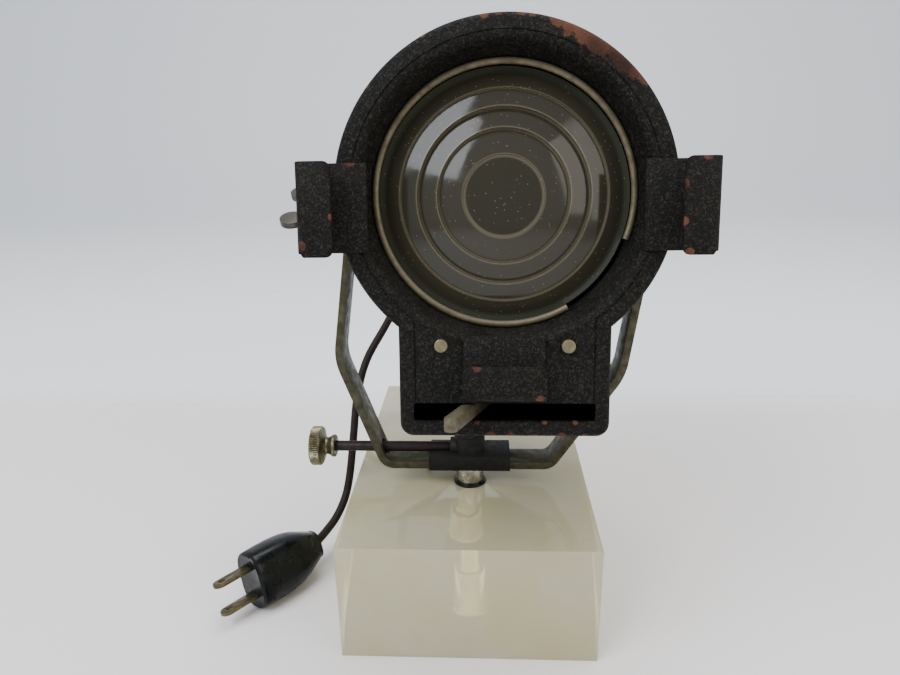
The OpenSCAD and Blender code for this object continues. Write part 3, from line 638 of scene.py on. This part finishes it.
JACKET = Finish("cord_jacket", "brown_cord_jacket", "#1c100b", "#100906", 0.6, cloud=6, grain=0.35,
                grain_depth=0.03, dust=0.03, specular=0.2)
BLADE_BRASS = Finish("blade_brass", "tarnished_brass_blade", "#6b6142", "#4a4430", 0.42, 0.85, cloud=3.0,
                     grain=0.3, grain_depth=0.02)
PAINT = WrinklePaint("wrinkle_black", "black_wrinkle_enamel", "#040403", "#080706", 0.6, cloud=14,
                     dust=0.03, specular=0.12)
LENS = LensGlass("lens_glass", "pressed_stepped_glass", "#323026", "#2a271c", 0.1, cloud=6, gloss_swing=0.05,
                 grain=3.0, grain_depth=0.01, specular=0.24, transmission=0.2, ior=1.52)


def ring_patches() -> tuple[Patch, ...]:
    """Where the front plate's paint has rusted: along its upper right edge, and in spots elsewhere."""
    front = -71.2
    along_edge = [(a, 49.5, r) for a, r in
                  ((18, 5), (22, 7), (27, 8.2), (32, 8.6), (37, 8), (42, 7.4), (47, 6), (51, 4),
                   (-2, 2.4), (-7, 3), (5, 2.6), (9, 2.6), (-28, 2), (-52, 2))]
    top = [Patch(d * math.sin(math.radians(a)), front, d * math.cos(math.radians(a)), r)
           for a, d, r in along_edge]
    low = [Patch(x, front, -71.5, r) for x, r in ((-14, 2), (-4, 3), (2, 2.8), (9, 2.4), (17, 2.6), (24, 2))]
    slot = [Patch(x, front, -66.6, r) for x, r in ((-8, 1.6), (12, 1.4), (21, 1.6))]
    return tuple(top + low + slot)


def clip_patches() -> tuple[Patch, ...]:
    """Where the clips' paint has rusted: by the folds and along the free edges."""
    return (
        Patch(57, -72.6, -14, 3.6), Patch(56, -72.6, 8.5, 3.2), Patch(50, -79.2, -16.5, 2.4),
        Patch(48.4, -79.2, 2, 2.0), Patch(48.4, -79.2, -8, 2.2), Patch(54, -79.2, 9.4, 2.4),
        Patch(-44, -72.6, 9.4, 2.6), Patch(-54, -72.6, 9.4, 3.0), Patch(-48.4, -79.2, -6, 1.8),
        Patch(-57, -79.2, -14, 2.4), Patch(-8, -79.2, -48.6, 2.2), Patch(10, -79.2, -58, 2.4),
    )


FRONT_PAINT = replace(PAINT, name="rusted_wrinkle_enamel", dust=0.02, patches=ring_patches())
CLIP_PAINT = replace(PAINT, name="worn_clip_enamel", colour="#050403", shade="#0a0706", roughness=0.58,
                     cloud=5, grain=0.7, grain_depth=0.34, dust=0.02, patches=clip_patches())


# ---------- handing over ----------


def hand_over(piece: Piece, body: Body, finish: Finish, *nodes: str) -> Piece:
    """Dresses a finished piece, mounts it on its body and hides the nodes that it stands for.

    Args:
        piece: the finished mesh, in the row frame.
        body: the body that it rides on.
        finish: its finish.
        nodes: the CAD nodes that it replaces.

    Returns:
        The same piece.
    """
    piece.data.materials.clear()
    piece.data.materials.append(finish.material())
    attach(piece, body.value)
    if nodes:
        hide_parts(*nodes)
    log.info("%s rides on %s, %d faces", piece.name, body.value, len(piece.data.polygons))
    return piece


def mount(piece: Piece, angle: float, finish: Finish, *nodes: str,
          place: Matrix = Matrix.Identity(4)) -> None:
    """Moves a piece into place on the head, shades it and hands it over.

    Args:
        piece: the finished mesh.
        angle: edges sharper than this stay sharp, in degrees.
        finish: its finish.
        nodes: the CAD nodes that it replaces.
        place: its place in the head's own axes.
    """
    piece.data.transform(HEAD @ place)
    smooth(piece, angle)
    hand_over(piece, Body.HEAD, finish, *nodes)


def soften_all(body: Body, rows: Sequence[tuple[str, float, Finish]]) -> None:
    """Replaces nodes by copies with rounded edges.

    Args:
        body: the body that they ride on.
        rows: each node's name, the reach of its rounded edges in millimetres, and its finish.
    """
    for node, edge, finish in rows:
        hand_over(softened(node, edge), body, finish, node)


def dress_all(rows: Sequence[tuple[str, Finish]]) -> None:
    """Gives CAD nodes that stay as they are their finishes."""
    for node, finish in rows:
        mesh = frame["nodes"][node].data
        mesh.materials.clear()
        mesh.materials.append(finish.material())
        log.info("%s dressed", node)


# ---------- camera, light and floor ----------


@dataclass
class Studio:
    """A pale sweep, soft light and the camera. Places are in metres, angles in degrees."""

    eye: Point = (0.006977, -0.297089, 0.208542)
    yaw: float = -3.121
    pitch: float = 18.681
    roll: float = -1.110
    lens: float = 27.48
    wall_y: float = 1.6
    sweep_r: float = 0.6
    tone_from: float = 0.15
    tone_to: float = 0.2
    floor_half: float = 3.0
    floor_tint: str = "#dcd8d6"
    wall_tint: str = "#e2e5e8"
    aim: Point = (0.0, -0.03, 0.12)
    lamps: tuple[tuple[str, Point, float, float, str], ...] = (
        ("window", (-0.75, -0.75, 1.05), 0.9, 23.0, "#f4f7ff"),
        ("fill", (0.95, -0.6, 0.6), 0.9, 8.0, "#fff6ea"),
        ("top", (0.15, 0.1, 1.3), 0.8, 13.0, "#ffffff"),
    )
    room_tint: str = "#dfe3e8"
    room_strength: float = 0.97

    def camera(self) -> None:
        """Makes the camera, level with the head and looking down at it."""
        yaw, pitch, roll = (math.radians(a) for a in (self.yaw, self.pitch, self.roll))
        ahead = Vector((math.sin(yaw) * math.cos(pitch), math.cos(yaw) * math.cos(pitch), -math.sin(pitch)))
        right = Vector((math.cos(yaw), -math.sin(yaw), 0))
        up = right.cross(ahead)
        across = math.cos(roll) * right + math.sin(roll) * up
        upward = -math.sin(roll) * right + math.cos(roll) * up
        data = bpy.data.cameras.new("camera")
        data.lens = self.lens
        data.clip_start = 0.01
        camera = linked("camera", data)
        turn = Matrix((across, upward, -ahead)).transposed().to_4x4()
        camera.matrix_world = Matrix.Translation(self.eye) @ turn
        bpy.context.scene.camera = camera

    def sweep(self) -> None:
        """Makes the floor, which curves up into the backdrop."""
        wall, half, radius = (size / MM for size in (self.wall_y, self.floor_half, self.sweep_r))
        sweep = chain("sweep", fillet([(-half, 0), (wall, 0), (wall, half)], radius, 16))
        with editing(sweep, "EDGE", whole=True):
            extrude(y=2 * half)
        sweep.data.transform(Matrix.Rotation(TURN / 4, 4, "Z") @ Matrix.Translation((0, -self.floor_half, 0)))
        smooth(sweep)
        paper = bpy.data.materials.new("matt_paper")
        paper.use_nodes = True
        tree, shader = paper.node_tree, paper.node_tree.nodes["Principled BSDF"]
        place = add_node(tree, "ShaderNodeTexCoord").outputs["Object"]
        depth = add_node(tree, "ShaderNodeSeparateXYZ", {0: place}).outputs["Y"]
        share = add_node(tree, "ShaderNodeMapRange",
                         {"Value": depth, "From Min": self.tone_from, "From Max": self.tone_to}).outputs[0]
        tone = add_node(tree, "ShaderNodeMix",
                        {0: share, 6: linear(self.floor_tint), 7: linear(self.wall_tint)},
                        data_type="RGBA").outputs[2]
        tree.links.new(tone, shader.inputs["Base Color"])
        shader.inputs["Roughness"].default_value = 0.85
        sweep.data.materials.append(paper)

    def lamp(self, name: str, place: Point, size: float, power: float, tint: str) -> None:
        """Makes one soft light that faces the head.

        Args:
            name: the light's name.
            place: where it stands, in metres.
            size: the side of its square face, in metres.
            power: its power in watts.
            tint: its colour.
        """
        data = bpy.data.lights.new(name, "AREA")
        data.size, data.energy, data.color = size, power, linear(tint)[:3]
        turn = (Vector(self.aim) - Vector(place)).to_track_quat("-Z", "Y").to_matrix().to_4x4()
        linked(name, data).matrix_world = Matrix.Translation(place) @ turn

    def lights(self) -> None:
        """Makes the soft lights and the even light of the room."""
        for row in self.lamps:
            self.lamp(*row)
        world = bpy.data.worlds.new("room")
        world.use_nodes = True
        background = world.node_tree.nodes["Background"]
        background.inputs["Color"].default_value = linear(self.room_tint)
        background.inputs["Strength"].default_value = self.room_strength
        bpy.context.scene.world = world

    def build(self) -> None:
        """Makes the whole set."""
        self.camera()
        self.sweep()
        self.lights()
        log.info("camera, sweep and lights are set")


# ---------- cord and plug ----------


@dataclass
class MainsLead:
    """The cord from the strain relief to its moulded plug. Sizes are in millimetres."""

    route: tuple[Point, ...] = (
        (-23.5, 54.4, 157.3), (-23.6, 61, 156.1), (-24.2, 67.4, 152.6), (-25.4, 72, 146.4),
        (-27.6, 73.4, 138), (-31, 71, 127.5), (-36.6, 62.7, 114.5), (-45.6, 47.5, 99), (-54.1, 31.5, 85.1),
        (-58, 20.5, 69.5), (-59.5, 11.5, 51), (-61.2, 6, 34.5), (-63.3, 0.8, 23.7), (-66.7, -6, 16.7),
        (-70.2, -14, 13.9), (-73.6, -24.3, 13.4),
    )
    diameter: float = 4.0
    roll: float = 76.0
    body_l: float = 35.5
    blade_l: float = 16.0
    rib_x: float = 31.2
    rib_z: float = 8.85
    rib_l: float = 6.0
    rib_w: float = 0.5
    rib_pitch: float = 0.95
    rib_count: int = 11
    rib_edge: float = 0.15
    grip_flat: float = 4.2
    grip_round: tuple[float, float] = (8.7, 7.2)
    tail: Point = (1.0, 13.0, 11.0)
    tail_round: float = 4.4
    sections: tuple[Point, ...] = (
        (2.2, 14.4, 12.2), (5.5, 17.5, 14.4), (9.5, 21.2, 17), (14, 23.8, 18.6), (18.5, 25.2, 19),
        (23, 25.8, 18.9), (28, 26, 18.3), (32, 25.9, 17.6), (34.8, 25.7, 17.1), (35.5, 24.5, 16),
    )
    steps: int = 6
    bend_start: Point = (-45.0, 47.0, 92.0)
    bend_end: Point = (-24.0, 66.0, 150.0)

    def plug_place(self) -> Matrix:
        """Matrix from the plug's own frame, with its blades along +X, to the row frame."""
        mount = next(m for m in frame["record"]["mounts"] if m["name"] == "mains_plug")
        axis = Vector(mount["axis"])
        root = Vector(mount["pos_m"]) - axis * (self.body_l + self.blade_l) * MM
        heading = math.atan2(axis.y, axis.x)
        return (Matrix.Translation(root) @ Matrix.Rotation(heading, 4, "Z")
                @ Matrix.Rotation(-math.radians(self.roll), 4, "X"))

    def centreline(self) -> list[Vector]:
        """Points close together on a smooth curve through the route, in metres."""
        points = [Vector(p) * MM for p in self.route]
        padded = [2 * points[0] - points[1], *points, 2 * points[-1] - points[-2]]
        line = []
        for a, b, c, d in zip(padded, padded[1:], padded[2:], padded[3:]):
            for k in range(self.steps):
                t = k / self.steps
                line.append(0.5 * (2 * b + (c - a) * t + (2 * a - 5 * b + 4 * c - d) * t**2
                                   + (3 * b - a - 3 * c + d) * t**3))
        return line + [points[-1]]

    def jacket(self) -> tuple[Piece, list[Vector]]:
        """Makes the cord's tube.

        Returns:
            The tube and the line that it follows.
        """
        line = self.centreline()
        curve = bpy.data.curves.new("cord_tube", "CURVE")
        curve.dimensions, curve.bevel_depth, curve.bevel_resolution = "3D", self.diameter / 2 * MM, 4
        curve.use_fill_caps = True
        spline = curve.splines.new("POLY")
        spline.points.add(len(line) - 1)
        for point, place in zip(spline.points, line):
            point.co = (*place, 1.0)
        pick(linked("cord_tube", curve))
        bpy.ops.object.convert(target="MESH")
        tube = bpy.context.object
        clean(tube)
        smooth(tube, 60)
        return tube, line

    def plug(self) -> Piece:
        """Moulds the plug's body: a rounded tail that widens to a ribbed grip."""
        at, width, height = self.tail
        body = bar("plug_moulding", (at / 2, 0, 0), self.tail, 0, self.tail_round, 6)
        with editing(body):
            choose(body, "faces", lambda f: f.normal.x > FACING)
            for x, w, h in self.sections:
                extrude(x - at)
                bpy.ops.transform.resize(value=(1, w / width, h / height), center_override=(x * MM, 0, 0))
                at, width, height = x, w, h
            bpy.ops.mesh.inset(thickness=1.2 * MM, depth=-0.15 * MM)
            choose(body, "faces", lambda f: f.normal.x < -FACING)
            bpy.ops.mesh.inset(thickness=2.2 * MM, depth=0.0)
            bpy.ops.mesh.inset(thickness=0.6 * MM, depth=-0.6 * MM)
        clean(body)
        combine(body, self.ribs(), "UNION")
        body.data.transform(self.plug_place())
        smooth(body, 40)
        return body

    def ribs(self) -> Piece:
        """Makes the fine lengthwise ribs of the grip, on both broad faces near the blades."""
        rib = bar("ribs", (0, 0, 0), (self.rib_l, self.rib_w, self.rib_w), 0, self.rib_edge, 1)
        apply(rib, "ARRAY", count=self.rib_count, use_relative_offset=False, use_constant_offset=True,
              constant_offset_displace=(0, self.rib_pitch * MM, 0))
        round_y, round_z = self.grip_round
        for vertex in rib.data.vertices:
            bend = min(max(vertex.co.y / MM - self.grip_flat, 0) / round_y, 1.0)
            vertex.co.z += (self.rib_z - round_z * (1 - math.sqrt(1 - bend**2))) * MM
            vertex.co.x += self.rib_x * MM
        other = linked("ribs", rib.data.copy())
        other.data.transform(Matrix.Scale(-1, 4, (0, 0, 1)))
        clean(other)
        combine(rib, other, "UNION")
        return rib

    def build(self) -> None:
        plug = hand_over(self.plug(), Body.YOKE, RUBBER, "plug_body")
        blades = hand_over(softened("plug_blades", 0.3), Body.YOKE, BLADE_BRASS, "plug_blades")
        tube, line = self.jacket()
        tube.data.materials.append(JACKET.material())
        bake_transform(tube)
        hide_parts("cord")


# ---------- block and yoke ----------


@dataclass
class DisplayBlock:
    """The clear block with its bolt."""

    edge: float = 0.5

    def build(self) -> None:
        """Makes the block, the bolt and the rings on it."""
        soften_all(Body.BASE, (
            ("base_block", self.edge, ACRYLIC), ("stud_bolt", 0.3, BRIGHT_STEEL),
            ("collar", 0.5, BRIGHT_STEEL), ("foot_ring", 0.2, RUBBER), ("stud_washer", 0.2, BRIGHT_STEEL),
        ))


@dataclass
class Yoke:
    """The bent bar, its saddle and the clamp screw with a knurled knob. Sizes are in millimetres."""

    bar_edge: float = 0.5
    knob_r: float = 8.5
    knob_inner: float = 64.4
    knob_w: float = 5.0
    knob_neck: float = 58.7
    teeth: int = 62
    tooth_depth: float = 0.4
    knurl_slack: float = 0.1
    knurl_edge: float = 0.6
    bore_r: float = 2.275

    def knob(self) -> Piece:
        """Turns the knob with its stepped waist, and presses a straight knurl into its rim."""
        near, far, rim = self.knob_inner, self.knob_inner + self.knob_w, self.knob_r
        neck = self.knob_neck
        profile = [(self.bore_r, neck), (4.5, neck), (4.9, neck + 0.35), (4.9, neck + 1.3), (4.6, neck + 1.8),
                   (3.9, neck + 2.9), (3.7, neck + 3.5), (3.8, near - 1.5), (4.6, near - 0.7),
                   (6.0, near - 0.1), (rim - 1.1, near), (rim - 0.35, near + 0.3), (rim, near + 0.7),
                   (rim, far - 0.7), (rim - 0.35, far - 0.3), (rim - 1.0, far), (rim - 2.0, far),
                   (rim - 2.6, far - 0.4), (1.5, far - 0.5), (0, far - 0.5), (0, near + 3), (self.bore_r, near + 3)]
        steps = 2 * self.teeth
        knob = turned("clamp_knob_turned", profile, steps, closed=True)
        step = TURN / steps
        with editing(knob, "VERT"):
            choose(knob, "verts", lambda v: v.co.xy.length > (rim - self.knurl_slack) * MM
                   and near + self.knurl_edge < v.co.z / MM < far - self.knurl_edge
                   and round(math.atan2(v.co.y, v.co.x) / step) % 2)
            factor = 1 - self.tooth_depth / rim
            bpy.ops.transform.resize(value=(factor, factor, 1), center_override=(0, 0, 0))
        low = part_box("clamp_knob")
        centre = (low[0] + low[1]) / 2
        knob.data.transform(Matrix.Translation((0, centre.y, centre.z)) @ TO_LEFT)
        smooth(knob, 22)
        return knob

    def build(self) -> None:
        """Makes the yoke's pieces."""
        soften_all(Body.YOKE, (("yoke", self.bar_edge, YOKE_STEEL), ("saddle", 0.6, SADDLE_IRON)))
        dress_all((("saddle_rivets", DULL_STEEL),))
        hand_over(softened("clamp_rod", 0.3), Body.CLAMP_SCREW, ROD_BROWN, "clamp_rod")
        hand_over(self.knob(), Body.CLAMP_SCREW, NICKEL, "clamp_knob")


# ---------- head ----------


@dataclass
class Housing:
    """The keyhole-shaped sheet-steel head. Sizes are in millimetres, about the tilt pivots."""

    ring_r: float = 49.4
    box_half: float = 31.3
    box_drop: float = 71.3
    box_top: float = -20.0
    corner: float = 4.0
    least_corner: float = 1.0
    front: float = -71.2
    back: float = 60.0
    sheet: float = 1.0
    rim: float = 12.0
    edge_round: float = 1.5
    band: float = 4.6
    groove: float = 0.5
    groove_depth: float = 0.35
    field_drop: float = 0.12
    lens_hole_r: float = 44.55
    cone_neck: float = 39.3
    lens_seat: float = 16.7
    lens_lip: float = 35.5
    cutter_l: float = 8.0
    slot: tuple[float, float] = (54.0, 5.4)
    slot_corner: float = 0.7
    slot_drop: float = 63.7
    rod_x: float = 18.7
    rod_drop: float = 43.7
    rod_hole_r: float = 2.2
    outlet_x: float = -36.0
    gland_r: float = 4.05
    sides: int = 160

    def keyhole(self, name: str, shrink: float, start: float, end: float) -> Piece:
        """Makes a solid with the head's outline.

        Args:
            name: the new piece's name.
            shrink: how far inside the outline it stays.
            start: its front face, in Y.
            end: its back face, in Y.

        Returns:
            The solid, about the head's pivots.
        """
        middle, depth = (start + end) / 2, end - start
        round_part = add(bpy.ops.mesh.primitive_cylinder_add, name, vertices=self.sides,
                         radius=(self.ring_r - shrink) * MM, depth=depth * MM, location=(0, middle * MM, 0),
                         rotation=(TURN / 4, 0, 0))
        low = shrink - self.box_drop
        box = bar("box", (0, middle, (self.box_top + low) / 2),
                  (2 * (self.box_half - shrink), depth, self.box_top - low), 1,
                  max(self.corner - shrink, self.least_corner), 6, below=low + 1)
        combine(round_part, box, "UNION")
        with editing(round_part, whole=True):
            bpy.ops.mesh.remove_doubles(threshold=WELD)
            bpy.ops.mesh.dissolve_limited(angle_limit=math.radians(0.5))
        return round_part

    def pressing(self, name: str, face: float, into: float) -> Piece:
        """Presses an end cover: a face with a raised band round it and a rim that laps the housing.

        Args:
            name: the new piece's name.
            face: its outer face, in Y.
            into: 1 if the rim runs along +Y, -1 if along -Y.

        Returns:
            The cover, about the head's pivots.
        """
        inner = face + into * self.rim
        cover = self.keyhole(name, 0, min(face, inner), max(face, inner))
        with editing(cover, "EDGE"):
            choose(cover, "edges", lambda e: len(e.link_faces) == 2
                   and any(f.normal.y * into < -FACING for f in e.link_faces)
                   and any(abs(f.normal.y) < 1 - FACING for f in e.link_faces)
                   and all(abs(v.co.y - face * MM) < WELD for v in e.verts))
            bpy.ops.mesh.bevel(offset=self.edge_round * MM, segments=4, affect="EDGES", clamp_overlap=False)
        start, end = sorted((face + into * self.sheet, inner + into * 2))
        combine(cover, self.keyhole("hollow", self.sheet, start, end))
        start, end = sorted((face - into, face + into * self.groove_depth))
        groove = self.keyhole("groove", self.band, start, end)
        combine(groove, self.keyhole("inside", self.band + self.groove, start - 1, end + 1))
        combine(cover, groove)
        start, end = sorted((face - into, face + into * self.field_drop))
        combine(cover, self.keyhole("field", self.band + self.groove / 2, start, end))
        return cover

    def hole(self, x: float, z: float, radius: float, face: float, sides: int = 48) -> Piece:
        """A rod-shaped cutter through a face at x and z."""
        return add(bpy.ops.mesh.primitive_cylinder_add, "hole", vertices=sides, radius=radius * MM,
                   depth=self.cutter_l * MM, location=(x * MM, face * MM, z * MM), rotation=(TURN / 4, 0, 0))

    def front_plate(self) -> Piece:
        """Makes the front pressing with the lens opening, the lever slot and the rod holes."""
        plate = self.pressing("front_pressing", self.front, 1)
        combine(plate, self.hole(0, 0, self.lens_hole_r, self.front, self.sides))
        for side in Side:
            combine(plate, self.hole(side.value * self.rod_x, -self.rod_drop, self.rod_hole_r, self.front))
        width, height = self.slot
        combine(plate, bar("slot", (0, self.front, -self.slot_drop), (width, self.cutter_l, height), 1,
                           self.slot_corner, 3))
        return plate

    def cone(self) -> Piece:
        """Turns the cone that rolls in from the ring's band to the lens seat."""
        neck, seat, lip = self.cone_neck, self.lens_seat, self.lens_lip
        back = seat + self.sheet
        profile = [(45.4, 0.5), (44.6, 0.28), (43.9, 0.26), (43.3, 0.42), (42.7, 0.8), (42.1, 1.45),
                   (41.6, 2.3), (41.1, 3.4), (40.5, 4.9), (39.9, 6.5), (neck, 8.2), (neck, seat), (lip, seat),
                   (lip, back), (neck + self.sheet, back), (neck + self.sheet, 8.6), (42.6, 3.4),
                   (44.2, 1.3), (45.4, 1.1)]
        cone = turned("lens_cone", profile, self.sides, closed=True)
        cone.data.transform(shift(y=self.front) @ FACE_ON)
        return cone

    def rear_cover(self) -> Piece:
        """Makes the back pressing with holes for the rods and the cable outlet."""
        cover = self.pressing("back_pressing", self.back, -1)
        for side in Side:
            combine(cover, self.hole(side.value * self.rod_x, -self.rod_drop, self.rod_hole_r, self.back))
        combine(cover, self.hole(self.outlet_x, 0, self.gland_r, self.back))
        return cover

    def build(self) -> None:
        """Makes the housing's pieces."""
        mount(self.front_plate(), 32, FRONT_PAINT, "front_plate")
        mount(self.cone(), 50, FRONT_PAINT)
        mount(self.rear_cover(), 32, PAINT, "rear_cover")
        soften_all(Body.HEAD, (
            ("vent_cap", 0.35, PAINT), ("cover_screws", 0.4, PAINT),
            ("tilt_bosses", 0.4, PAINT), ("friction_washers", 0.15, FIBRE), ("nut_washer", 0.2, DULL_STEEL),
            ("pivot_bolt", 0.4, DULL_STEEL), ("pivot_screw", 0.6, DULL_STEEL),
        ))
        dress_all((("housing_shell", PAINT),))


@dataclass
class LensSet:
    """The stepped lens and the open wire that holds it. In millimetres, with depths from the front face."""

    front: float = -71.2
    radius: float = 38.1
    face: float = 9.2
    seat: float = 16.7
    edges: tuple[float, ...] = (12.2, 19.9, 26.0, 31.3, 36.3)
    crests: tuple[float, ...] = (0.4, 0.7, 0.9, 1.1, 1.6)
    falls: tuple[float, ...] = (0.9, 1.9, 2.1, 1.6, 2.2)
    riser: float = 0.12
    wire_r: float = 38.2
    wire_d: float = 2.0
    wire_depth: float = 8.2
    wire_start: float = -300.0
    wire_turn: float = 320.0
    steps: int = 160

    def lens(self) -> Piece:
        """Turns the lens: each zone is a slice of one dome, set back by a riser."""
        profile = []
        inner = 0.0
        for edge, crest, fall in zip(self.edges, self.crests, self.falls):
            for k in range(7):
                r = inner + (edge - inner) * k / 6
                share = (r**2 - inner**2) / (edge**2 - inner**2)
                profile.append((r, self.face + crest + fall * share))
            inner = edge + self.riser
        profile += [(self.radius - 0.3, self.face + 3.7), (self.radius, self.face + 4.1),
                    (self.radius, self.seat), (0, self.seat)]
        return turned("stepped_lens", profile, self.steps)

    def wire(self) -> Piece:
        """Bends the wire round the lens, with cut ends."""
        start = math.radians(self.wire_start)
        wire = add(bpy.ops.mesh.primitive_circle_add, "retaining_wire", vertices=16,
                   radius=self.wire_d / 2 * MM, location=(self.wire_r * MM, 0, 0), rotation=(TURN / 4, 0, 0))
        wire.data.transform(Matrix.Rotation(start, 4, "Z"))
        with editing(wire, whole=True):
            bpy.ops.mesh.spin(steps=140, angle=math.radians(self.wire_turn), center=(0, 0, 0),
                              axis=(0, 0, -1))
            bpy.ops.mesh.select_all(action="SELECT")
            bpy.ops.mesh.fill_holes(sides=0)
        clean(wire)
        return wire

    def build(self) -> None:
        """Makes the lens and its wire."""
        mount(self.lens(), 30, LENS, "lens", place=shift(y=self.front) @ FACE_ON)
        mount(self.wire(), 50, WIRE, "lens_wire", place=shift(y=self.front + self.wire_depth) @ FACE_ON)


@dataclass
class FrameClips:
    """The three bent clips that hold a colour frame. Sizes are in millimetres."""

    front: float = -71.2
    sheet: float = 1.0
    gap: float = 6.0
    side_base: float = 39.3
    side_fold: float = 58.5
    side_lip: float = 48.3
    side_low: float = -16.25
    side_high: float = 9.25
    lip_extra: float = 1.0
    low_base: float = 40.6
    low_fold: float = 59.0
    low_lip: float = 48.5
    low_half: float = 12.0
    bend: float = 2.2
    lip_corner: float = 2.0

    def strip(self, name: str, base: float, fold: float, lip: float, low: float, high: float,
              extra: float) -> Piece:
        """Bends one clip, whose base, fold and lip run along +X.

        Args:
            name: the new piece's name.
            base: the base's free edge, in X.
            fold: the fold's outside, in X.
            lip: the lip's free edge, in X.
            low: its lower edge, in Z.
            high: its upper edge, in Z.
            extra: how much further down the lip reaches than the base.

        Returns:
            The clip, about the head's pivots.
        """
        mid = self.sheet / 2
        near, far = self.front - mid, self.front - self.gap - 1.5 * self.sheet
        line = fillet([(base, near), (fold - mid, near), (fold - mid, far), (lip, far)], self.bend)
        clip = chain(name, line)
        clip.data.transform(shift(z=low) @ FACE_ON)
        with editing(clip, "EDGE", whole=True):
            extrude(z=high - low)
        with editing(clip, "VERT"):
            choose(clip, "verts", lambda v: v.co.y < (far + 0.1) * MM and v.co.z < (low + 0.1) * MM)
            bpy.ops.transform.translate(value=(0, 0, -extra * MM))
            choose(clip, "verts", lambda v: v.co.x < (lip + 0.1) * MM and v.co.y < (far + 0.1) * MM)
            bpy.ops.mesh.bevel(offset=self.lip_corner * MM, segments=4, affect="VERTICES")
        apply(clip, "SOLIDIFY", thickness=self.sheet * MM, offset=0)
        apply(clip, "BEVEL", width=0.22 * MM, segments=2, limit_method="ANGLE", angle_limit=math.radians(50))
        clean(clip)
        return clip

    def build(self) -> None:
        """Makes the left, right and bottom clips."""
        places = {
            "left_clip": Matrix.Scale(-1, 4, (1, 0, 0)),
            "right_clip": Matrix.Identity(4),
            "bottom_clip": Matrix.Rotation(TURN / 4, 4, "Y"),
        }
        for node, place in places.items():
            if node == "bottom_clip":
                clip = self.strip("clip_bottom", self.low_base, self.low_fold, self.low_lip, -self.low_half,
                                  self.low_half, 0.0)
            else:
                clip = self.strip(f"clip_{node[:-5]}", self.side_base, self.side_fold, self.side_lip,
                                  self.side_low, self.side_high, self.lip_extra)
            clip.data.transform(HEAD @ place)
            clean(clip)
            smooth(clip, 40)
            hand_over(clip, Body.HEAD, CLIP_PAINT, node)


@dataclass
class Outlet:
    """The cable gland and its ribbed strain relief. Sizes are in millimetres."""

    x: float = -36.0
    start: float = 64.0
    length: float = 20.0
    root_r: float = 4.0
    tip_r: float = 3.1
    bore_r: float = 2.05
    groove_depth: float = 0.55
    ribs: int = 6

    def relief(self) -> Piece:
        """Turns the tapered relief with its rings of flex grooves."""
        outer = []
        pitch = (self.length - 2) / self.ribs
        for k in range(self.ribs):
            z = 1.2 + k * pitch
            r = self.root_r + (self.tip_r - self.root_r) * z / self.length
            low = r - self.groove_depth
            outer += [(r, z), (r, z + pitch * 0.45), (low, z + pitch * 0.6), (low, z + pitch * 0.85)]
        profile = [(self.bore_r, 0), (self.root_r, 0), *outer, (self.tip_r, self.length - 0.6),
                   (self.tip_r - 0.5, self.length), (self.bore_r, self.length)]
        return turned("flex_relief", profile, 40, closed=True)

    def build(self) -> None:
        """Makes the gland and the relief."""
        soften_all(Body.HEAD, (("cable_gland", 0.4, DULL_STEEL),))
        mount(self.relief(), 30, RUBBER, "strain_relief", place=shift(self.x, self.start) @ FACE_ON)


@dataclass
class FocusingGear:
    """The rods, the lever and the lamp carriage inside the head."""

    rod_edge: float = 0.35
    lever_edge: float = 0.55

    def build(self) -> None:
        """Makes the visible ends and dresses the rest."""
        soften_all(Body.HEAD, (("guide_rods", self.rod_edge, ROD_STEEL), ("rod_nuts", 0.4, DULL_STEEL)))
        soften_all(Body.FOCUS_LEVER, (("focus_lever", self.lever_edge, LEVER_STEEL),))
        soften_all(Body.WING_NUT, (("wing_nut", 0.6, DULL_STEEL),))
        dress_all((
            ("lever_pin", DULL_STEEL), ("carriage", SHEET_ZINC), ("carriage_bushes", BRASS),
            ("drive_pin", DULL_STEEL), ("lamp_socket", PORCELAIN), ("lamp_cap", BRASS),
            ("lamp_bulb", BULB_GLASS), ("reflector", MIRROR), ("reflector_bracket", SHEET_ZINC),
            ("reflector_rivet", DULL_STEEL),
        ))


def main() -> None:
    """Builds the set and the spotlight."""
    logging.basicConfig(level=logging.INFO, format="%(name)s: %(message)s")
    for part in (Studio(), MainsLead(), DisplayBlock(), Yoke(), Housing(), LensSet(), FrameClips(), Outlet(),
                 FocusingGear()):
        part.build()
        log.info("%s is built", type(part).__name__)


if __name__ == "__main__":
    main()
